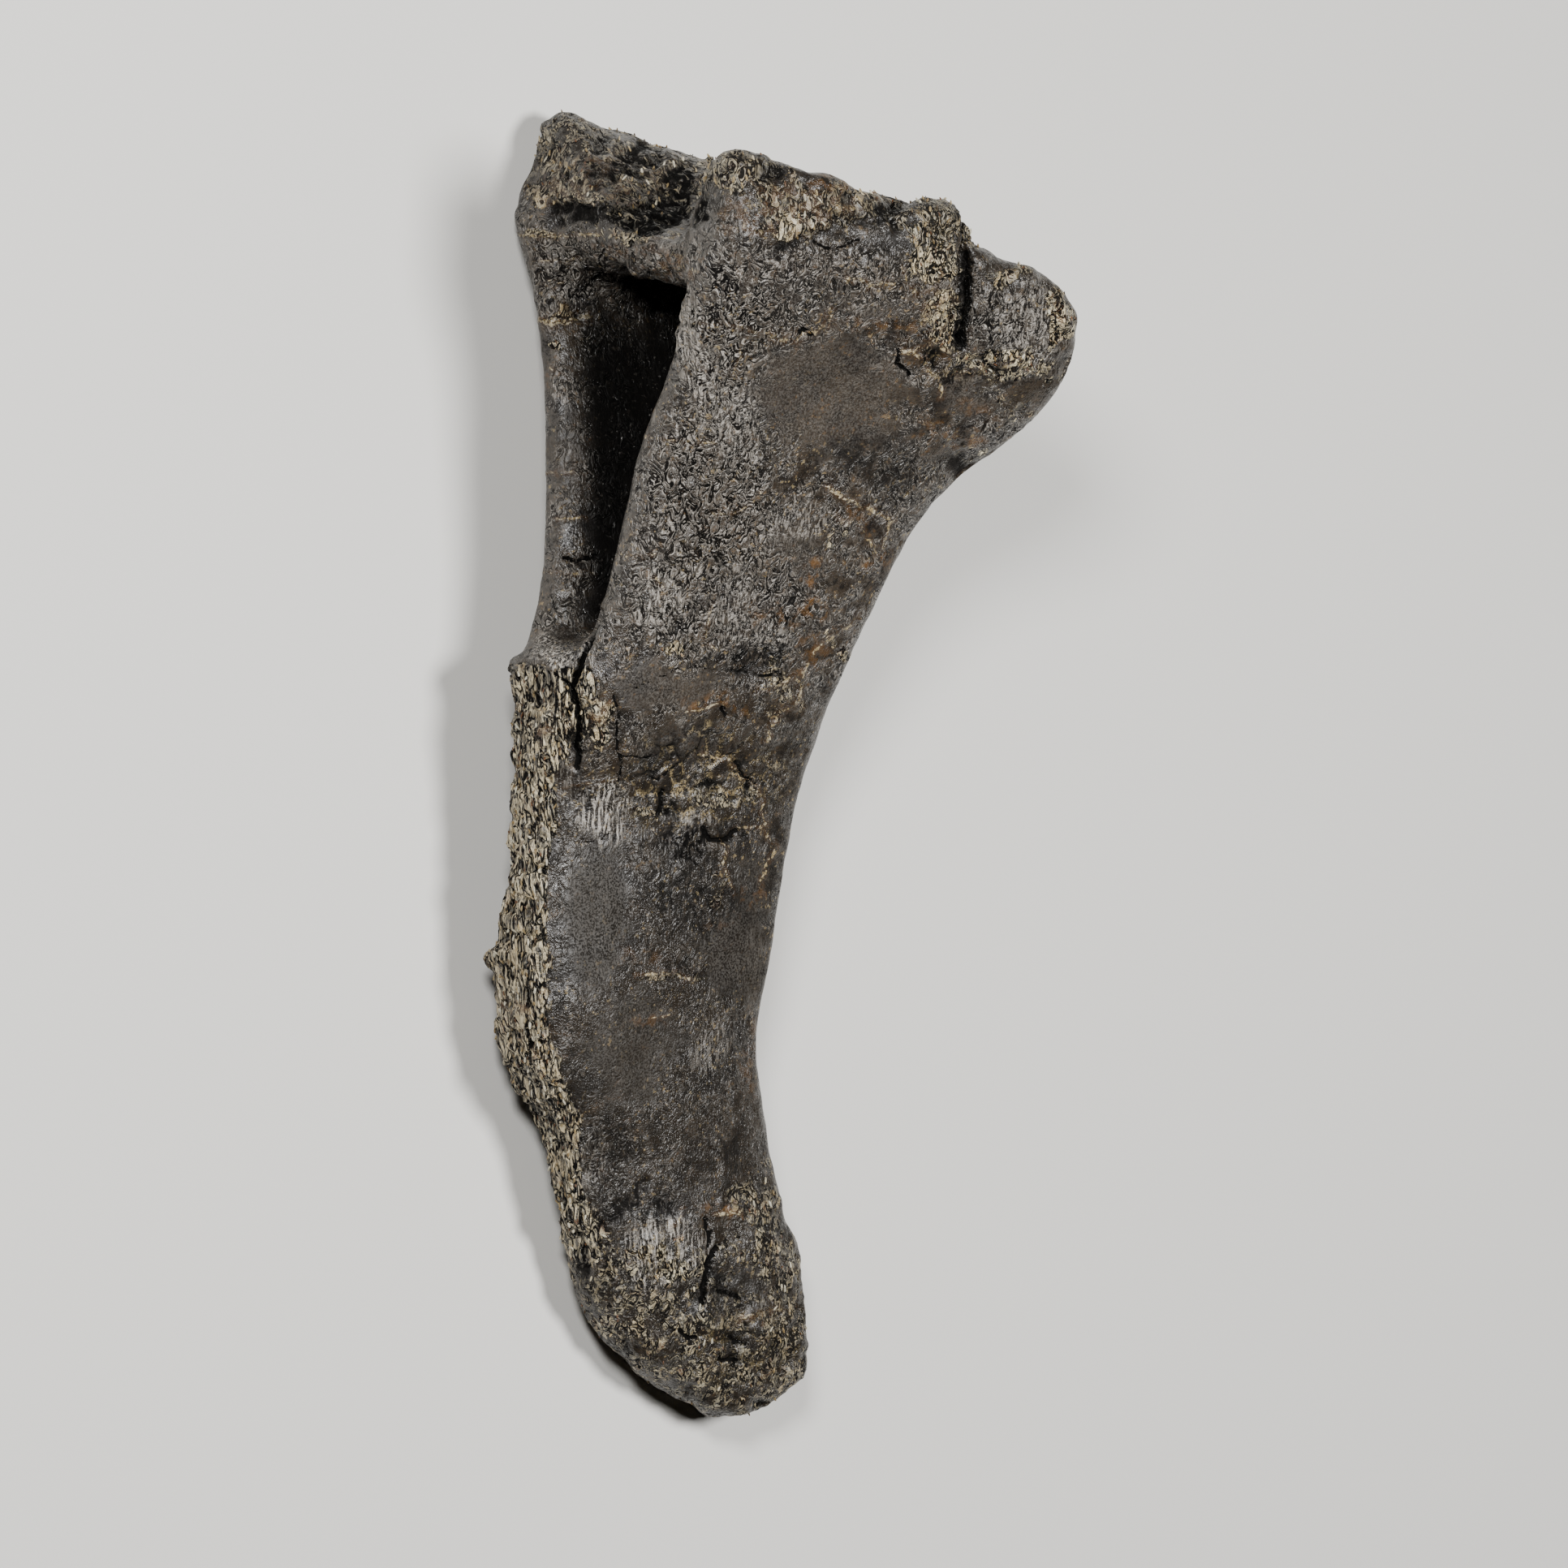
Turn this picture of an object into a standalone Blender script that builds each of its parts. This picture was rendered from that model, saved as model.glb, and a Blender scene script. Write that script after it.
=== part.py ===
"""Fossil chevron bone from under the front of a Diplodocus tail, lying on its right side.

The bone is worked out standing, in millimetres: +Z up to the heads that met the tail, +X back towards
the tail's tip, -Y to the animal's left. It is one piece: a blade below, two arms that part above it round
the canal for the tail's blood vessels, and a roof that joins the arms' heads over the canal. At the end it
is laid down on its right side, as a loose bone lies, with +Y along its length and the left side up.
"""

import math

import bmesh
import bpy
import numpy as np
from mathutils import Matrix, Vector, noise

MM = 0.001
NODE = "chevron_bone"

# Each profile is a list of (height, value) in mm, read by a smooth curve through its points.
BLADE_FRONT = [
    (-4, 22), (10, -2), (20, -13), (31, -21), (41, -26.5), (52, -29), (60, -31), (73, -33), (86, -35),
    (98, -40.5), (108, -46.5), (122, -49.5), (146, -49.5), (182, -45), (200, -43.5), (215, -41.5), (224, -42.5),
    (229, -39.5), (232, -30),
]
BLADE_BACK = [
    (-4, 30), (0, 50), (6, 55), (15, 56), (34, 56), (44, 54), (54, 50), (74, 44), (94, 41), (104, 39),
    (122, 42.5), (151, 48), (179, 55), (198, 62.5), (218, 66), (232, 66),
]
BLADE_FRONT_THICK = [
    (-4, 14), (20, 24), (50, 24), (75, 20), (98, 28), (122, 33), (146, 29), (182, 21), (206, 29), (232, 30),
]
BLADE_MIDDLE_THICK = [(-4, 18), (10, 28), (35, 34), (70, 29), (120, 28), (180, 29), (206, 32), (232, 32)]
BLADE_BACK_THICK = [(-4, 12), (20, 22), (50, 17), (110, 13), (180, 14), (232, 18)]

ARM_FRONT = [
    (176, -32), (206, -38), (217, -37), (230, -32), (244, -26), (265, -22), (287, -19), (328, -13), (352, -15), (372, -14),
    (388, -12),
]
ARM_BACK = [
    (176, 44), (206, 62), (218, 66.5), (237, 74), (256, 82), (265, 88), (275, 98), (284, 110), (294, 118),
    (306, 121.5), (318, 119.5), (328, 113.5), (334, 105), (338, 94), (342, 81), (346, 78), (356, 74), (366, 62), (388, 50),
]
ARM_FRONT_SIDE = [
    (176, 4), (192, 7), (206, 10), (217, 12), (244, 15.5), (265, 19), (287, 23), (328, 37), (352, 44), (372, 42),
    (388, 38),
]
ARM_BACK_SIDE = [
    (176, 2), (218, 9), (237, 14), (256, 19), (275, 27), (294, 38), (311, 45), (333, 49), (360, 48), (388, 46),
]
ARM_FRONT_THICK = [(176, 13), (192, 17), (206, 19), (244, 23), (310, 23), (345, 27), (388, 22)]
ARM_MIDDLE_THICK = [(176, 12), (192, 16), (206, 18), (244, 18), (300, 15), (345, 21), (388, 20)]
ARM_BACK_THICK = [(176, 5), (218, 12), (275, 14), (300, 24), (325, 28), (345, 23), (388, 18)]

ROOF_FRONT, ROOF_BACK = -9, 46
ROOF_UNDERSIDE, ROOF_TOP = 334, 392
ROOF_HALF_WIDTH = 50
ROOF_ARCH = 6

# The heads' joint faces: heights across the bone from left to right, how they fall towards the back, and
# how steeply they rise from the lip in front.
FACET_ACROSS = [
    (-62, 371), (-50, 375.5), (-37, 371), (-31, 354), (-22, 348), (0, 351), (26, 366), (50, 379), (62, 376),
]
FACET_FALL_BACK = 0.36
FACET_LEVEL_TO = 4
RIDGE_SIDE = 46
FRONT_LIP_HEIGHT, FRONT_LIP_X = 351, -12
FRONT_RISE = [(-62, 5.0), (-20, 5.0), (10, 2.0), (62, 2.0)]

# Hollows (and, where the depth is negative, swellings) as centre x, y, z, radius and depth in mm.
HOLLOWS = [
    (22, 14, 361, 9, 5.5),
    (24, -20, 222, 13, 2.5),
    (8, -16, 196, 10, 1.8),
    (40, -40, 300, 30, 2.0),
    (36, 40, 292, 28, 2.5),
    (-10, 16, 150, 26, 1.6),
    (69, -54, 350, 11, -3.0),
    (10, -8, 346, 12, 2.0),
]

# The deep crack that parts the lobe from the left head, as stations down its length: x, height, half width.
CRACK_STATIONS = [(73.0, 360, 3.0), (71.8, 343, 2.0), (70.3, 331, 1.5), (70.8, 322, 1.3), (70.0, 315, 0.9)]
CRACK_MOUTH_SIDE, CRACK_FLOOR_SIDE, CRACK_FLOOR_SHARE = -72, -45, 0.45

# Broken bone is rough: on the front edge of the blade, the lower end, the heads and the lobe.
ROUGH_HEIGHT, ROUGH_GRAIN = 1.7, 11.0
SWELL_HEIGHT, SWELL_LENGTH = 0.7, 34.0
FRONT_STRIP_WIDTH = 12
LOWER_END_HEIGHT = 62
HEAD_FROM_HEIGHT = 345
LOBE_FROM_X, LOBE_FROM_HEIGHT = 84, 292

BONE_COLOUR = (0.075, 0.064, 0.058)
BONE_ROUGHNESS = 0.55

RING_POINTS = 48
RING_STEP = 3.0
ROUND_EDGE, BLUNT_EDGE = 2.6, 5.0
VOXEL = 2.6
WELD_DISTANCE = 0.12
TRIANGLES = 8400

# How the finished bone lies: turned back onto its right side, then tipped until head, lobe and tip touch.
TIP_UP_DEG = 7.58
LEAN_DEG = -4.85
WORN_DEPTH = 0.7
RIGHT_LOBE_FLARE = [(250, 0), (300, 5), (320, 6), (350, 2), (388, 0)]


def smooth_profile(points, height):
    """Value of a profile at a height, on a curve that never overshoots its points (monotone cubic)."""
    x = np.array([p[0] for p in points], float)
    y = np.array([p[1] for p in points], float)
    step = np.diff(x)
    slope = np.diff(y) / step
    tangent = np.zeros(len(x))
    tangent[0], tangent[-1] = slope[0], slope[-1]
    for i in range(1, len(x) - 1):
        if slope[i - 1] * slope[i] > 0:
            a, b = 2 * step[i] + step[i - 1], step[i] + 2 * step[i - 1]
            tangent[i] = (a + b) / (a / slope[i - 1] + b / slope[i])
    h = np.clip(height, x[0], x[-1])
    i = int(np.clip(np.searchsorted(x, h) - 1, 0, len(x) - 2))
    t = (h - x[i]) / step[i]
    return (
        (1 + 2 * t) * (1 - t) ** 2 * y[i]
        + t * (1 - t) ** 2 * step[i] * tangent[i]
        + t * t * (3 - 2 * t) * y[i + 1]
        + t * t * (t - 1) * step[i] * tangent[i + 1]
    )


def ramp(value, low, high):
    """0 below low, 1 above high, and a smooth rise between them."""
    t = min(1.0, max(0.0, (value - low) / (high - low)))
    return t * t * (3 - 2 * t)


def plate_ring(height, front, back, side, thick, front_power):
    """One level section of a flat bone, from its front to its back edge.

    The thickness is set at front, middle and back. The edges are superellipse ends: the higher the front
    power, the blunter the front edge.
    """
    length = back - front
    ring = []
    for k in range(RING_POINTS):
        turn = 2 * math.pi * k / RING_POINTS
        along = (1 - math.cos(turn)) / 2
        power = front_power if along < 0.5 else ROUND_EDGE
        ends = (1 - abs(2 * along - 1) ** power) ** (1 / power)
        front_share, back_share = (1 - along) ** 2, along ** 2
        middle_share = 1 - front_share - back_share
        half = 0.5 * (thick[0] * front_share + thick[1] * middle_share + thick[2] * back_share)
        across = math.copysign(ends * half, math.sin(turn))
        ring.append((front + along * length, side[0] + along * (side[1] - side[0]) + across, height))
    return ring


def loft(name, rings):
    """Closed solid through a list of rings of equal length, capped at both ends."""
    body = bmesh.new()
    levels = [[body.verts.new(Vector(p) * MM) for p in ring] for ring in rings]
    for low, high in zip(levels, levels[1:]):
        for k in range(len(low)):
            j = (k + 1) % len(low)
            body.faces.new((low[k], low[j], high[j], high[k]))
    body.faces.new(list(reversed(levels[0])))
    body.faces.new(levels[-1])
    bmesh.ops.recalc_face_normals(body, faces=body.faces)
    return add_object(name, body)


def add_object(name, body):
    mesh = bpy.data.meshes.new(name)
    body.to_mesh(mesh)
    body.free()
    made = bpy.data.objects.new(name, mesh)
    bpy.context.collection.objects.link(made)
    return made


def heights(low, high):
    return np.linspace(low, high, int(round((high - low) / RING_STEP)) + 1)


def build_blade():
    rings = []
    for z in heights(BLADE_FRONT[0][0], BLADE_FRONT[-1][0]):
        thick = [smooth_profile(p, z) for p in (BLADE_FRONT_THICK, BLADE_MIDDLE_THICK, BLADE_BACK_THICK)]
        front, back = smooth_profile(BLADE_FRONT, z), smooth_profile(BLADE_BACK, z)
        blunt = ROUND_EDGE + (BLUNT_EDGE - ROUND_EDGE) * ramp(z, 50, 80)
        rings.append(plate_ring(z, front, back, (0, 0), thick, blunt))
    return loft("blade", rings)


def build_arm(name, hand):
    """One arm of the fork; hand is -1 for the left arm and 1 for the right."""
    rings = []
    for z in heights(ARM_FRONT[0][0], ARM_FRONT[-1][0]):
        side = [hand * smooth_profile(p, z) for p in (ARM_FRONT_SIDE, ARM_BACK_SIDE)]
        if hand > 0:
            side[1] += smooth_profile(RIGHT_LOBE_FLARE, z)
        thick = [smooth_profile(p, z) for p in (ARM_FRONT_THICK, ARM_MIDDLE_THICK, ARM_BACK_THICK)]
        front, back = smooth_profile(ARM_FRONT, z), smooth_profile(ARM_BACK, z)
        rings.append(plate_ring(z, front, back, side, thick, ROUND_EDGE))
    return loft(name, rings)


def build_roof():
    """The bar over the canal that joins the two heads, arched underneath."""
    rings = []
    for y in np.linspace(-ROOF_HALF_WIDTH, ROOF_HALF_WIDTH, 25):
        underside = ROOF_UNDERSIDE + ROOF_ARCH * (1 - (y / ROOF_HALF_WIDTH) ** 2) - ROOF_ARCH
        middle_x, half_x = (ROOF_FRONT + ROOF_BACK) / 2, (ROOF_BACK - ROOF_FRONT) / 2
        middle_z, half_z = (underside + ROOF_TOP) / 2, (ROOF_TOP - underside) / 2
        ring = []
        for k in range(RING_POINTS):
            turn = 2 * math.pi * k / RING_POINTS
            c, s = math.cos(turn), math.sin(turn)
            ring.append((
                middle_x + half_x * math.copysign(abs(c) ** 0.5, c),
                y,
                middle_z + half_z * math.copysign(abs(s) ** 0.5, s),
            ))
        rings.append(ring)
    return loft("roof", rings)


def facet_height(x, y):
    """Height of the heads' joint faces: a valley across the bone, its ridges falling back, steep at the front lip."""
    fall = FACET_FALL_BACK * max(0.0, x - FACET_LEVEL_TO) * min(1.0, (abs(y) / RIDGE_SIDE) ** 2)
    rear_facet = smooth_profile(FACET_ACROSS, y) - fall
    front_facet = FRONT_LIP_HEIGHT + smooth_profile(FRONT_RISE, y) * (x - FRONT_LIP_X)
    return min(rear_facet, front_facet)


def build_facet_cutter():
    """Block above the heads, with the joint faces as its underside."""
    xs = np.arange(-60, 161, 5.0)
    ys = np.arange(-100, 101, 4.0)
    top = 460
    body = bmesh.new()
    under = [[body.verts.new(Vector((x, y, facet_height(x, y))) * MM) for y in ys] for x in xs]
    over = [[body.verts.new(Vector((x, y, top)) * MM) for y in ys] for x in xs]
    for grid in (under, over):
        for i in range(len(xs) - 1):
            for j in range(len(ys) - 1):
                body.faces.new((grid[i][j], grid[i + 1][j], grid[i + 1][j + 1], grid[i][j + 1]))
    last_i, last_j = len(xs) - 1, len(ys) - 1
    border = (
        [(i, 0) for i in range(last_i)]
        + [(last_i, j) for j in range(last_j)]
        + [(i, last_j) for i in range(last_i, 0, -1)]
        + [(0, j) for j in range(last_j, 0, -1)]
    )
    for (i, j), (k, m) in zip(border, border[1:] + border[:1]):
        body.faces.new((under[i][j], under[k][m], over[k][m], over[i][j]))
    bmesh.ops.recalc_face_normals(body, faces=body.faces)
    cutter = add_object("facet_cutter", body)
    cutter.hide_render = True
    cutter.display_type = "WIRE"
    return cutter


def apply_modifiers(target):
    graph = bpy.context.evaluated_depsgraph_get()
    done = bpy.data.meshes.new_from_object(target.evaluated_get(graph))
    target.modifiers.clear()
    old = target.data
    target.data = done
    bpy.data.meshes.remove(old)


def fuse(name, solids):
    """Joins overlapping solids in one skin."""
    body = bmesh.new()
    for solid in solids:
        body.from_mesh(solid.data)
    for solid in solids:
        bpy.data.objects.remove(solid)
    made = add_object(name, body)
    remesh = made.modifiers.new("one_skin", "REMESH")
    remesh.mode = "VOXEL"
    remesh.voxel_size = VOXEL * MM
    smooth = made.modifiers.new("soften", "SMOOTH")
    smooth.factor, smooth.iterations = 0.5, 4
    apply_modifiers(made)
    return made


def cut(target, cutter):
    boolean = target.modifiers.new("cut", "BOOLEAN")
    boolean.operation, boolean.solver, boolean.object = "DIFFERENCE", "EXACT", cutter
    weld = target.modifiers.new("no_slivers", "WELD")
    weld.merge_threshold = WELD_DISTANCE * MM
    apply_modifiers(target)
    bpy.data.objects.remove(cutter)


def remesh_again(target, voxel, rounds):
    remesh = target.modifiers.new("one_skin", "REMESH")
    remesh.mode, remesh.voxel_size = "VOXEL", voxel * MM
    smooth = target.modifiers.new("soften", "SMOOTH")
    smooth.factor, smooth.iterations = 0.5, rounds
    apply_modifiers(target)


def roughness_at(x, y, z):
    """Share of the broken, rough bone at a point, from 0 on sound surface to 1."""
    strip = (1 - ramp(x - smooth_profile(BLADE_FRONT, z), 4, FRONT_STRIP_WIDTH)) * (1 - ramp(z, 226, 232))
    lower_end = 1 - ramp(z, LOWER_END_HEIGHT - 12, LOWER_END_HEIGHT + 6)
    head = ramp(z, HEAD_FROM_HEIGHT - 4, HEAD_FROM_HEIGHT + 6)
    lobe = 0.7 * ramp(x, LOBE_FROM_X, LOBE_FROM_X + 10) * ramp(z, LOBE_FROM_HEIGHT, LOBE_FROM_HEIGHT + 14)
    return max(strip, lower_end, head, lobe)


def weather(target):
    """Presses the hollows in, and breaks up the surface where the bone is worn or broken."""
    mesh = target.data
    moves = []
    for vertex in mesh.vertices:
        x, y, z = vertex.co / MM
        rise = SWELL_HEIGHT * noise.noise(Vector((x, y, z)) / SWELL_LENGTH)
        rough = roughness_at(x, y, z)
        if rough > 0:
            rise += rough * ROUGH_HEIGHT * noise.fractal(Vector((x, y, z * 0.6)) / ROUGH_GRAIN, 1.0, 2.0, 2)
        for hx, hy, hz, radius, depth in HOLLOWS:
            gap = math.dist((x, y, z), (hx, hy, hz)) / radius
            rise -= depth * (1 - ramp(gap, 0, 1))
        moves.append(vertex.co + vertex.normal * rise * MM)
    for vertex, place in zip(mesh.vertices, moves):
        vertex.co = place
    mesh.update()


def build_crack_cutter():
    """Wedge for the deep crack: widest at the left face, narrowing inwards and downwards."""
    rings = []
    for x, z, half in CRACK_STATIONS:
        floor_half = half * CRACK_FLOOR_SHARE
        rings.append([
            (x - half, CRACK_MOUTH_SIDE, z),
            (x + half, CRACK_MOUTH_SIDE, z),
            (x + floor_half, CRACK_FLOOR_SIDE, z),
            (x - floor_half, CRACK_FLOOR_SIDE, z),
        ])
    cutter = loft("crack_cutter", rings)
    cutter.hide_render = True
    cutter.display_type = "WIRE"
    return cutter


def thin_out(target, triangles):
    target.data.calc_loop_triangles()
    decimate = target.modifiers.new("fewer_faces", "DECIMATE")
    decimate.ratio = triangles / len(target.data.loop_triangles)
    decimate.use_collapse_triangulate = True
    apply_modifiers(target)


def corners(target):
    places = np.array([v.co for v in target.data.vertices])
    return Vector(places.min(0)), Vector(places.max(0))


def lay_down(target):
    """Turns the standing bone onto its right side, wears it flat where it touches, and sets the origin below it."""
    turn = (
        Matrix.Rotation(math.radians(LEAN_DEG), 4, "Y")
        @ Matrix.Rotation(math.radians(TIP_UP_DEG), 4, "X")
        @ Matrix.Rotation(math.radians(-90), 4, "X")
    )
    target.data.transform(turn)
    low, high = corners(target)
    body = bmesh.new()
    body.from_mesh(target.data)
    floor = Vector((0, 0, low.z + WORN_DEPTH * MM))
    bmesh.ops.bisect_plane(
        body, geom=body.verts[:] + body.edges[:] + body.faces[:], plane_co=floor, plane_no=(0, 0, -1),
        clear_outer=True, dist=1e-6,
    )
    bmesh.ops.holes_fill(body, edges=[e for e in body.edges if e.is_boundary], sides=0)
    bmesh.ops.recalc_face_normals(body, faces=body.faces)
    body.to_mesh(target.data)
    body.free()
    low, high = corners(target)
    shift = Vector((-(low.x + high.x) / 2, -(low.y + high.y) / 2, -low.z))
    target.data.transform(Matrix.Translation(shift))
    return shift


def finish(target):
    """Colour of the dark fossil bone, shaded smooth."""
    material = bpy.data.materials.new("fossil_bone")
    material.use_nodes = True
    shader = material.node_tree.nodes["Principled BSDF"]
    shader.inputs["Base Color"].default_value = (*BONE_COLOUR, 1)
    shader.inputs["Roughness"].default_value = BONE_ROUGHNESS
    target.data.materials.append(material)
    target.data.shade_smooth()


def main():
    for old in list(bpy.data.objects):
        bpy.data.objects.remove(old)
    bone = fuse(NODE, [build_blade(), build_arm("left_arm", -1), build_arm("right_arm", 1), build_roof()])
    cut(bone, build_facet_cutter())
    remesh_again(bone, VOXEL, 2)
    weather(bone)
    thin_out(bone, TRIANGLES)
    cut(bone, build_crack_cutter())
    lay_down(bone)
    finish(bone)


main()
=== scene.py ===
import math
import bpy
import bmesh
import numpy as np
from mathutils import Matrix, Vector
from mathutils.bvhtree import BVHTree
from mathutils.kdtree import KDTree


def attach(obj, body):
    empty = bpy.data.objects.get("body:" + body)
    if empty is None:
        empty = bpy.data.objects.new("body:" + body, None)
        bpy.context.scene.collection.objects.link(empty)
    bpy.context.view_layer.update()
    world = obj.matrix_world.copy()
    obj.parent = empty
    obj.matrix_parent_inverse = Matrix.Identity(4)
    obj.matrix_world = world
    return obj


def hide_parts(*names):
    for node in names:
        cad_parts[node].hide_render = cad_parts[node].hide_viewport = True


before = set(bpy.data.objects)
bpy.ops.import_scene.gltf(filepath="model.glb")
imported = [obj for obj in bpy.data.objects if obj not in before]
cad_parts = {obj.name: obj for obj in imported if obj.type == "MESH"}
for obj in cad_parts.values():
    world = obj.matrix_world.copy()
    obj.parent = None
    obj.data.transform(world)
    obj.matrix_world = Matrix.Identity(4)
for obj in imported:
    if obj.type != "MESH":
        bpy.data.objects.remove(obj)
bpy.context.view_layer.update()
print("frame loaded")

mm = 0.001

# The bone is described standing: +Z up to the joint heads, +X to its back edge, -Y to its left side, in mm.
# It lies on its right side, so each place is turned and moved once to get there.
lying = {"tipUp": 7.58, "lean": -4.85, "shift": (-34.8409, -188.2276, 9.5987)}
turnDown = np.array(
    Matrix.Rotation(math.radians(lying["lean"]), 3, "Y")
    @ Matrix.Rotation(math.radians(lying["tipUp"]), 3, "X")
    @ Matrix.Rotation(math.radians(-90), 3, "X")
)


def toStanding(places):  # metres lying to mm standing
    return (np.asarray(places) / mm - np.array(lying["shift"])) @ turnDown


def toLying(places):  # mm standing to metres lying
    return (np.asarray(places) @ turnDown.T + np.array(lying["shift"])) * mm


# The bone is seen from its front left, a little from above. A picture place is (across, down) in pixels of
# a view 1932 wide, where 4.2 pixels are 1 mm on the bone.
viewpoint = {
    "round": 36.5, "above": 9.5, "pixelsPerMm": 4.2, "origin": (800.0, 1741.0), "distance": 3000.0,
    "size": 1932, "sensor": 36.0,
}
focal, half = viewpoint["pixelsPerMm"] * viewpoint["distance"], viewpoint["size"] / 2


def viewAxes(mirrored=False):
    around, above = math.radians(viewpoint["round"]), math.radians(viewpoint["above"])
    level = math.cos(above)
    back = np.array([-math.sin(around) * level, -math.cos(around) * level, math.sin(above)])
    right = np.array([math.cos(around), -math.sin(around), 0.0])
    up = np.cross(back, right)
    target = (half - viewpoint["origin"][0]) * right + (viewpoint["origin"][1] - half) * up
    target = target / viewpoint["pixelsPerMm"]
    if mirrored:  # the same view of the right side, as in a mirror
        flip = np.array([1.0, -1.0, 1.0])
        back, right, up, target = back * flip, right * flip, up * flip, target * flip
    return back, right, up, target


def toPicture(places, mirrored=False):
    back, right, up, target = viewAxes(mirrored)
    offset = places - target
    depth = viewpoint["distance"] - offset @ back
    return half + focal * (offset @ right) / depth, half - focal * (offset @ up) / depth, depth


def placeCamera():
    back, right, up, target = viewAxes()
    camera = bpy.data.objects.new("camera", bpy.data.cameras.new("camera"))
    bpy.context.collection.objects.link(camera)
    camera.data.sensor_width = viewpoint["sensor"]
    camera.data.lens = viewpoint["sensor"] * focal / viewpoint["size"]
    camera.data.clip_start, camera.data.clip_end = 0.1, 20.0
    pose = np.eye(4)
    pose[:3, 0], pose[:3, 1], pose[:3, 2] = turnDown @ right, turnDown @ up, turnDown @ back
    pose[:3, 3] = toLying(target + viewpoint["distance"] * back)
    camera.matrix_world = Matrix(pose.tolist())
    bpy.context.scene.camera = camera


placeCamera()


# Patterns over all the vertices at once. Places are in mm, and each pattern repeats for its seed.
def hashed(cells, seed):  # three even random numbers, 0 to 1, for each whole cell
    x, y, z = (cells[..., i].astype(np.int64) for i in range(3))
    value = (x * 73856093) ^ (y * 19349663) ^ (z * 83492791) ^ (seed * 2654435761)
    out = []
    for k in range(3):
        value = (value ^ (value >> 15)) * 2246822519 & 0xFFFFFFFF
        value = (value ^ (value >> 13)) * 3266489917 & 0xFFFFFFFF
        out.append(((value ^ (value >> 16)) & 0xFFFF) / 65535.0)
    return np.stack(out, -1)


def grain(places, size, seed=1):  # smooth noise, about -1 to 1, with lumps of that size
    p = places / size
    base = np.floor(p)
    f = p - base
    w = f * f * f * (f * (f * 6 - 15) + 10)
    total = np.zeros(len(p))
    for corner in np.ndindex(2, 2, 2):
        slope = hashed(base + corner, seed) * 2 - 1
        lean = (slope * (f - corner)).sum(1)
        near = np.where(corner, w, 1 - w)
        total += near[:, 0] * near[:, 1] * near[:, 2] * lean
    return total * 1.6  # brings the steepest lumps to about 1


def layered(places, size, seed=1, layers=3):
    total, share = np.zeros(len(places)), 1.0
    for n in range(layers):
        total += share * grain(places, size / 2 ** n, seed + n)
        share *= 0.5
    return total


def cells(places, size, seed=1):  # how far to the nearest two cell centres, and the nearest one's number
    p = places / size
    base = np.floor(p)
    first, second = np.full(len(p), 9.0), np.full(len(p), 9.0)
    number = np.zeros(len(p))
    for step in np.ndindex(3, 3, 3):
        cell = base + step - 1
        spot = hashed(cell, seed)
        gap = np.linalg.norm(cell + spot - p, axis=1)
        nearer = gap < first
        second = np.where(nearer, first, np.minimum(second, gap))
        number = np.where(nearer, spot[:, 0], number)
        first = np.where(nearer, gap, first)
    return first, second, number


def ramp(value, low, high):
    t = np.clip((value - low) / (high - low), 0, 1)
    return t * t * (3 - 2 * t)


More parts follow.
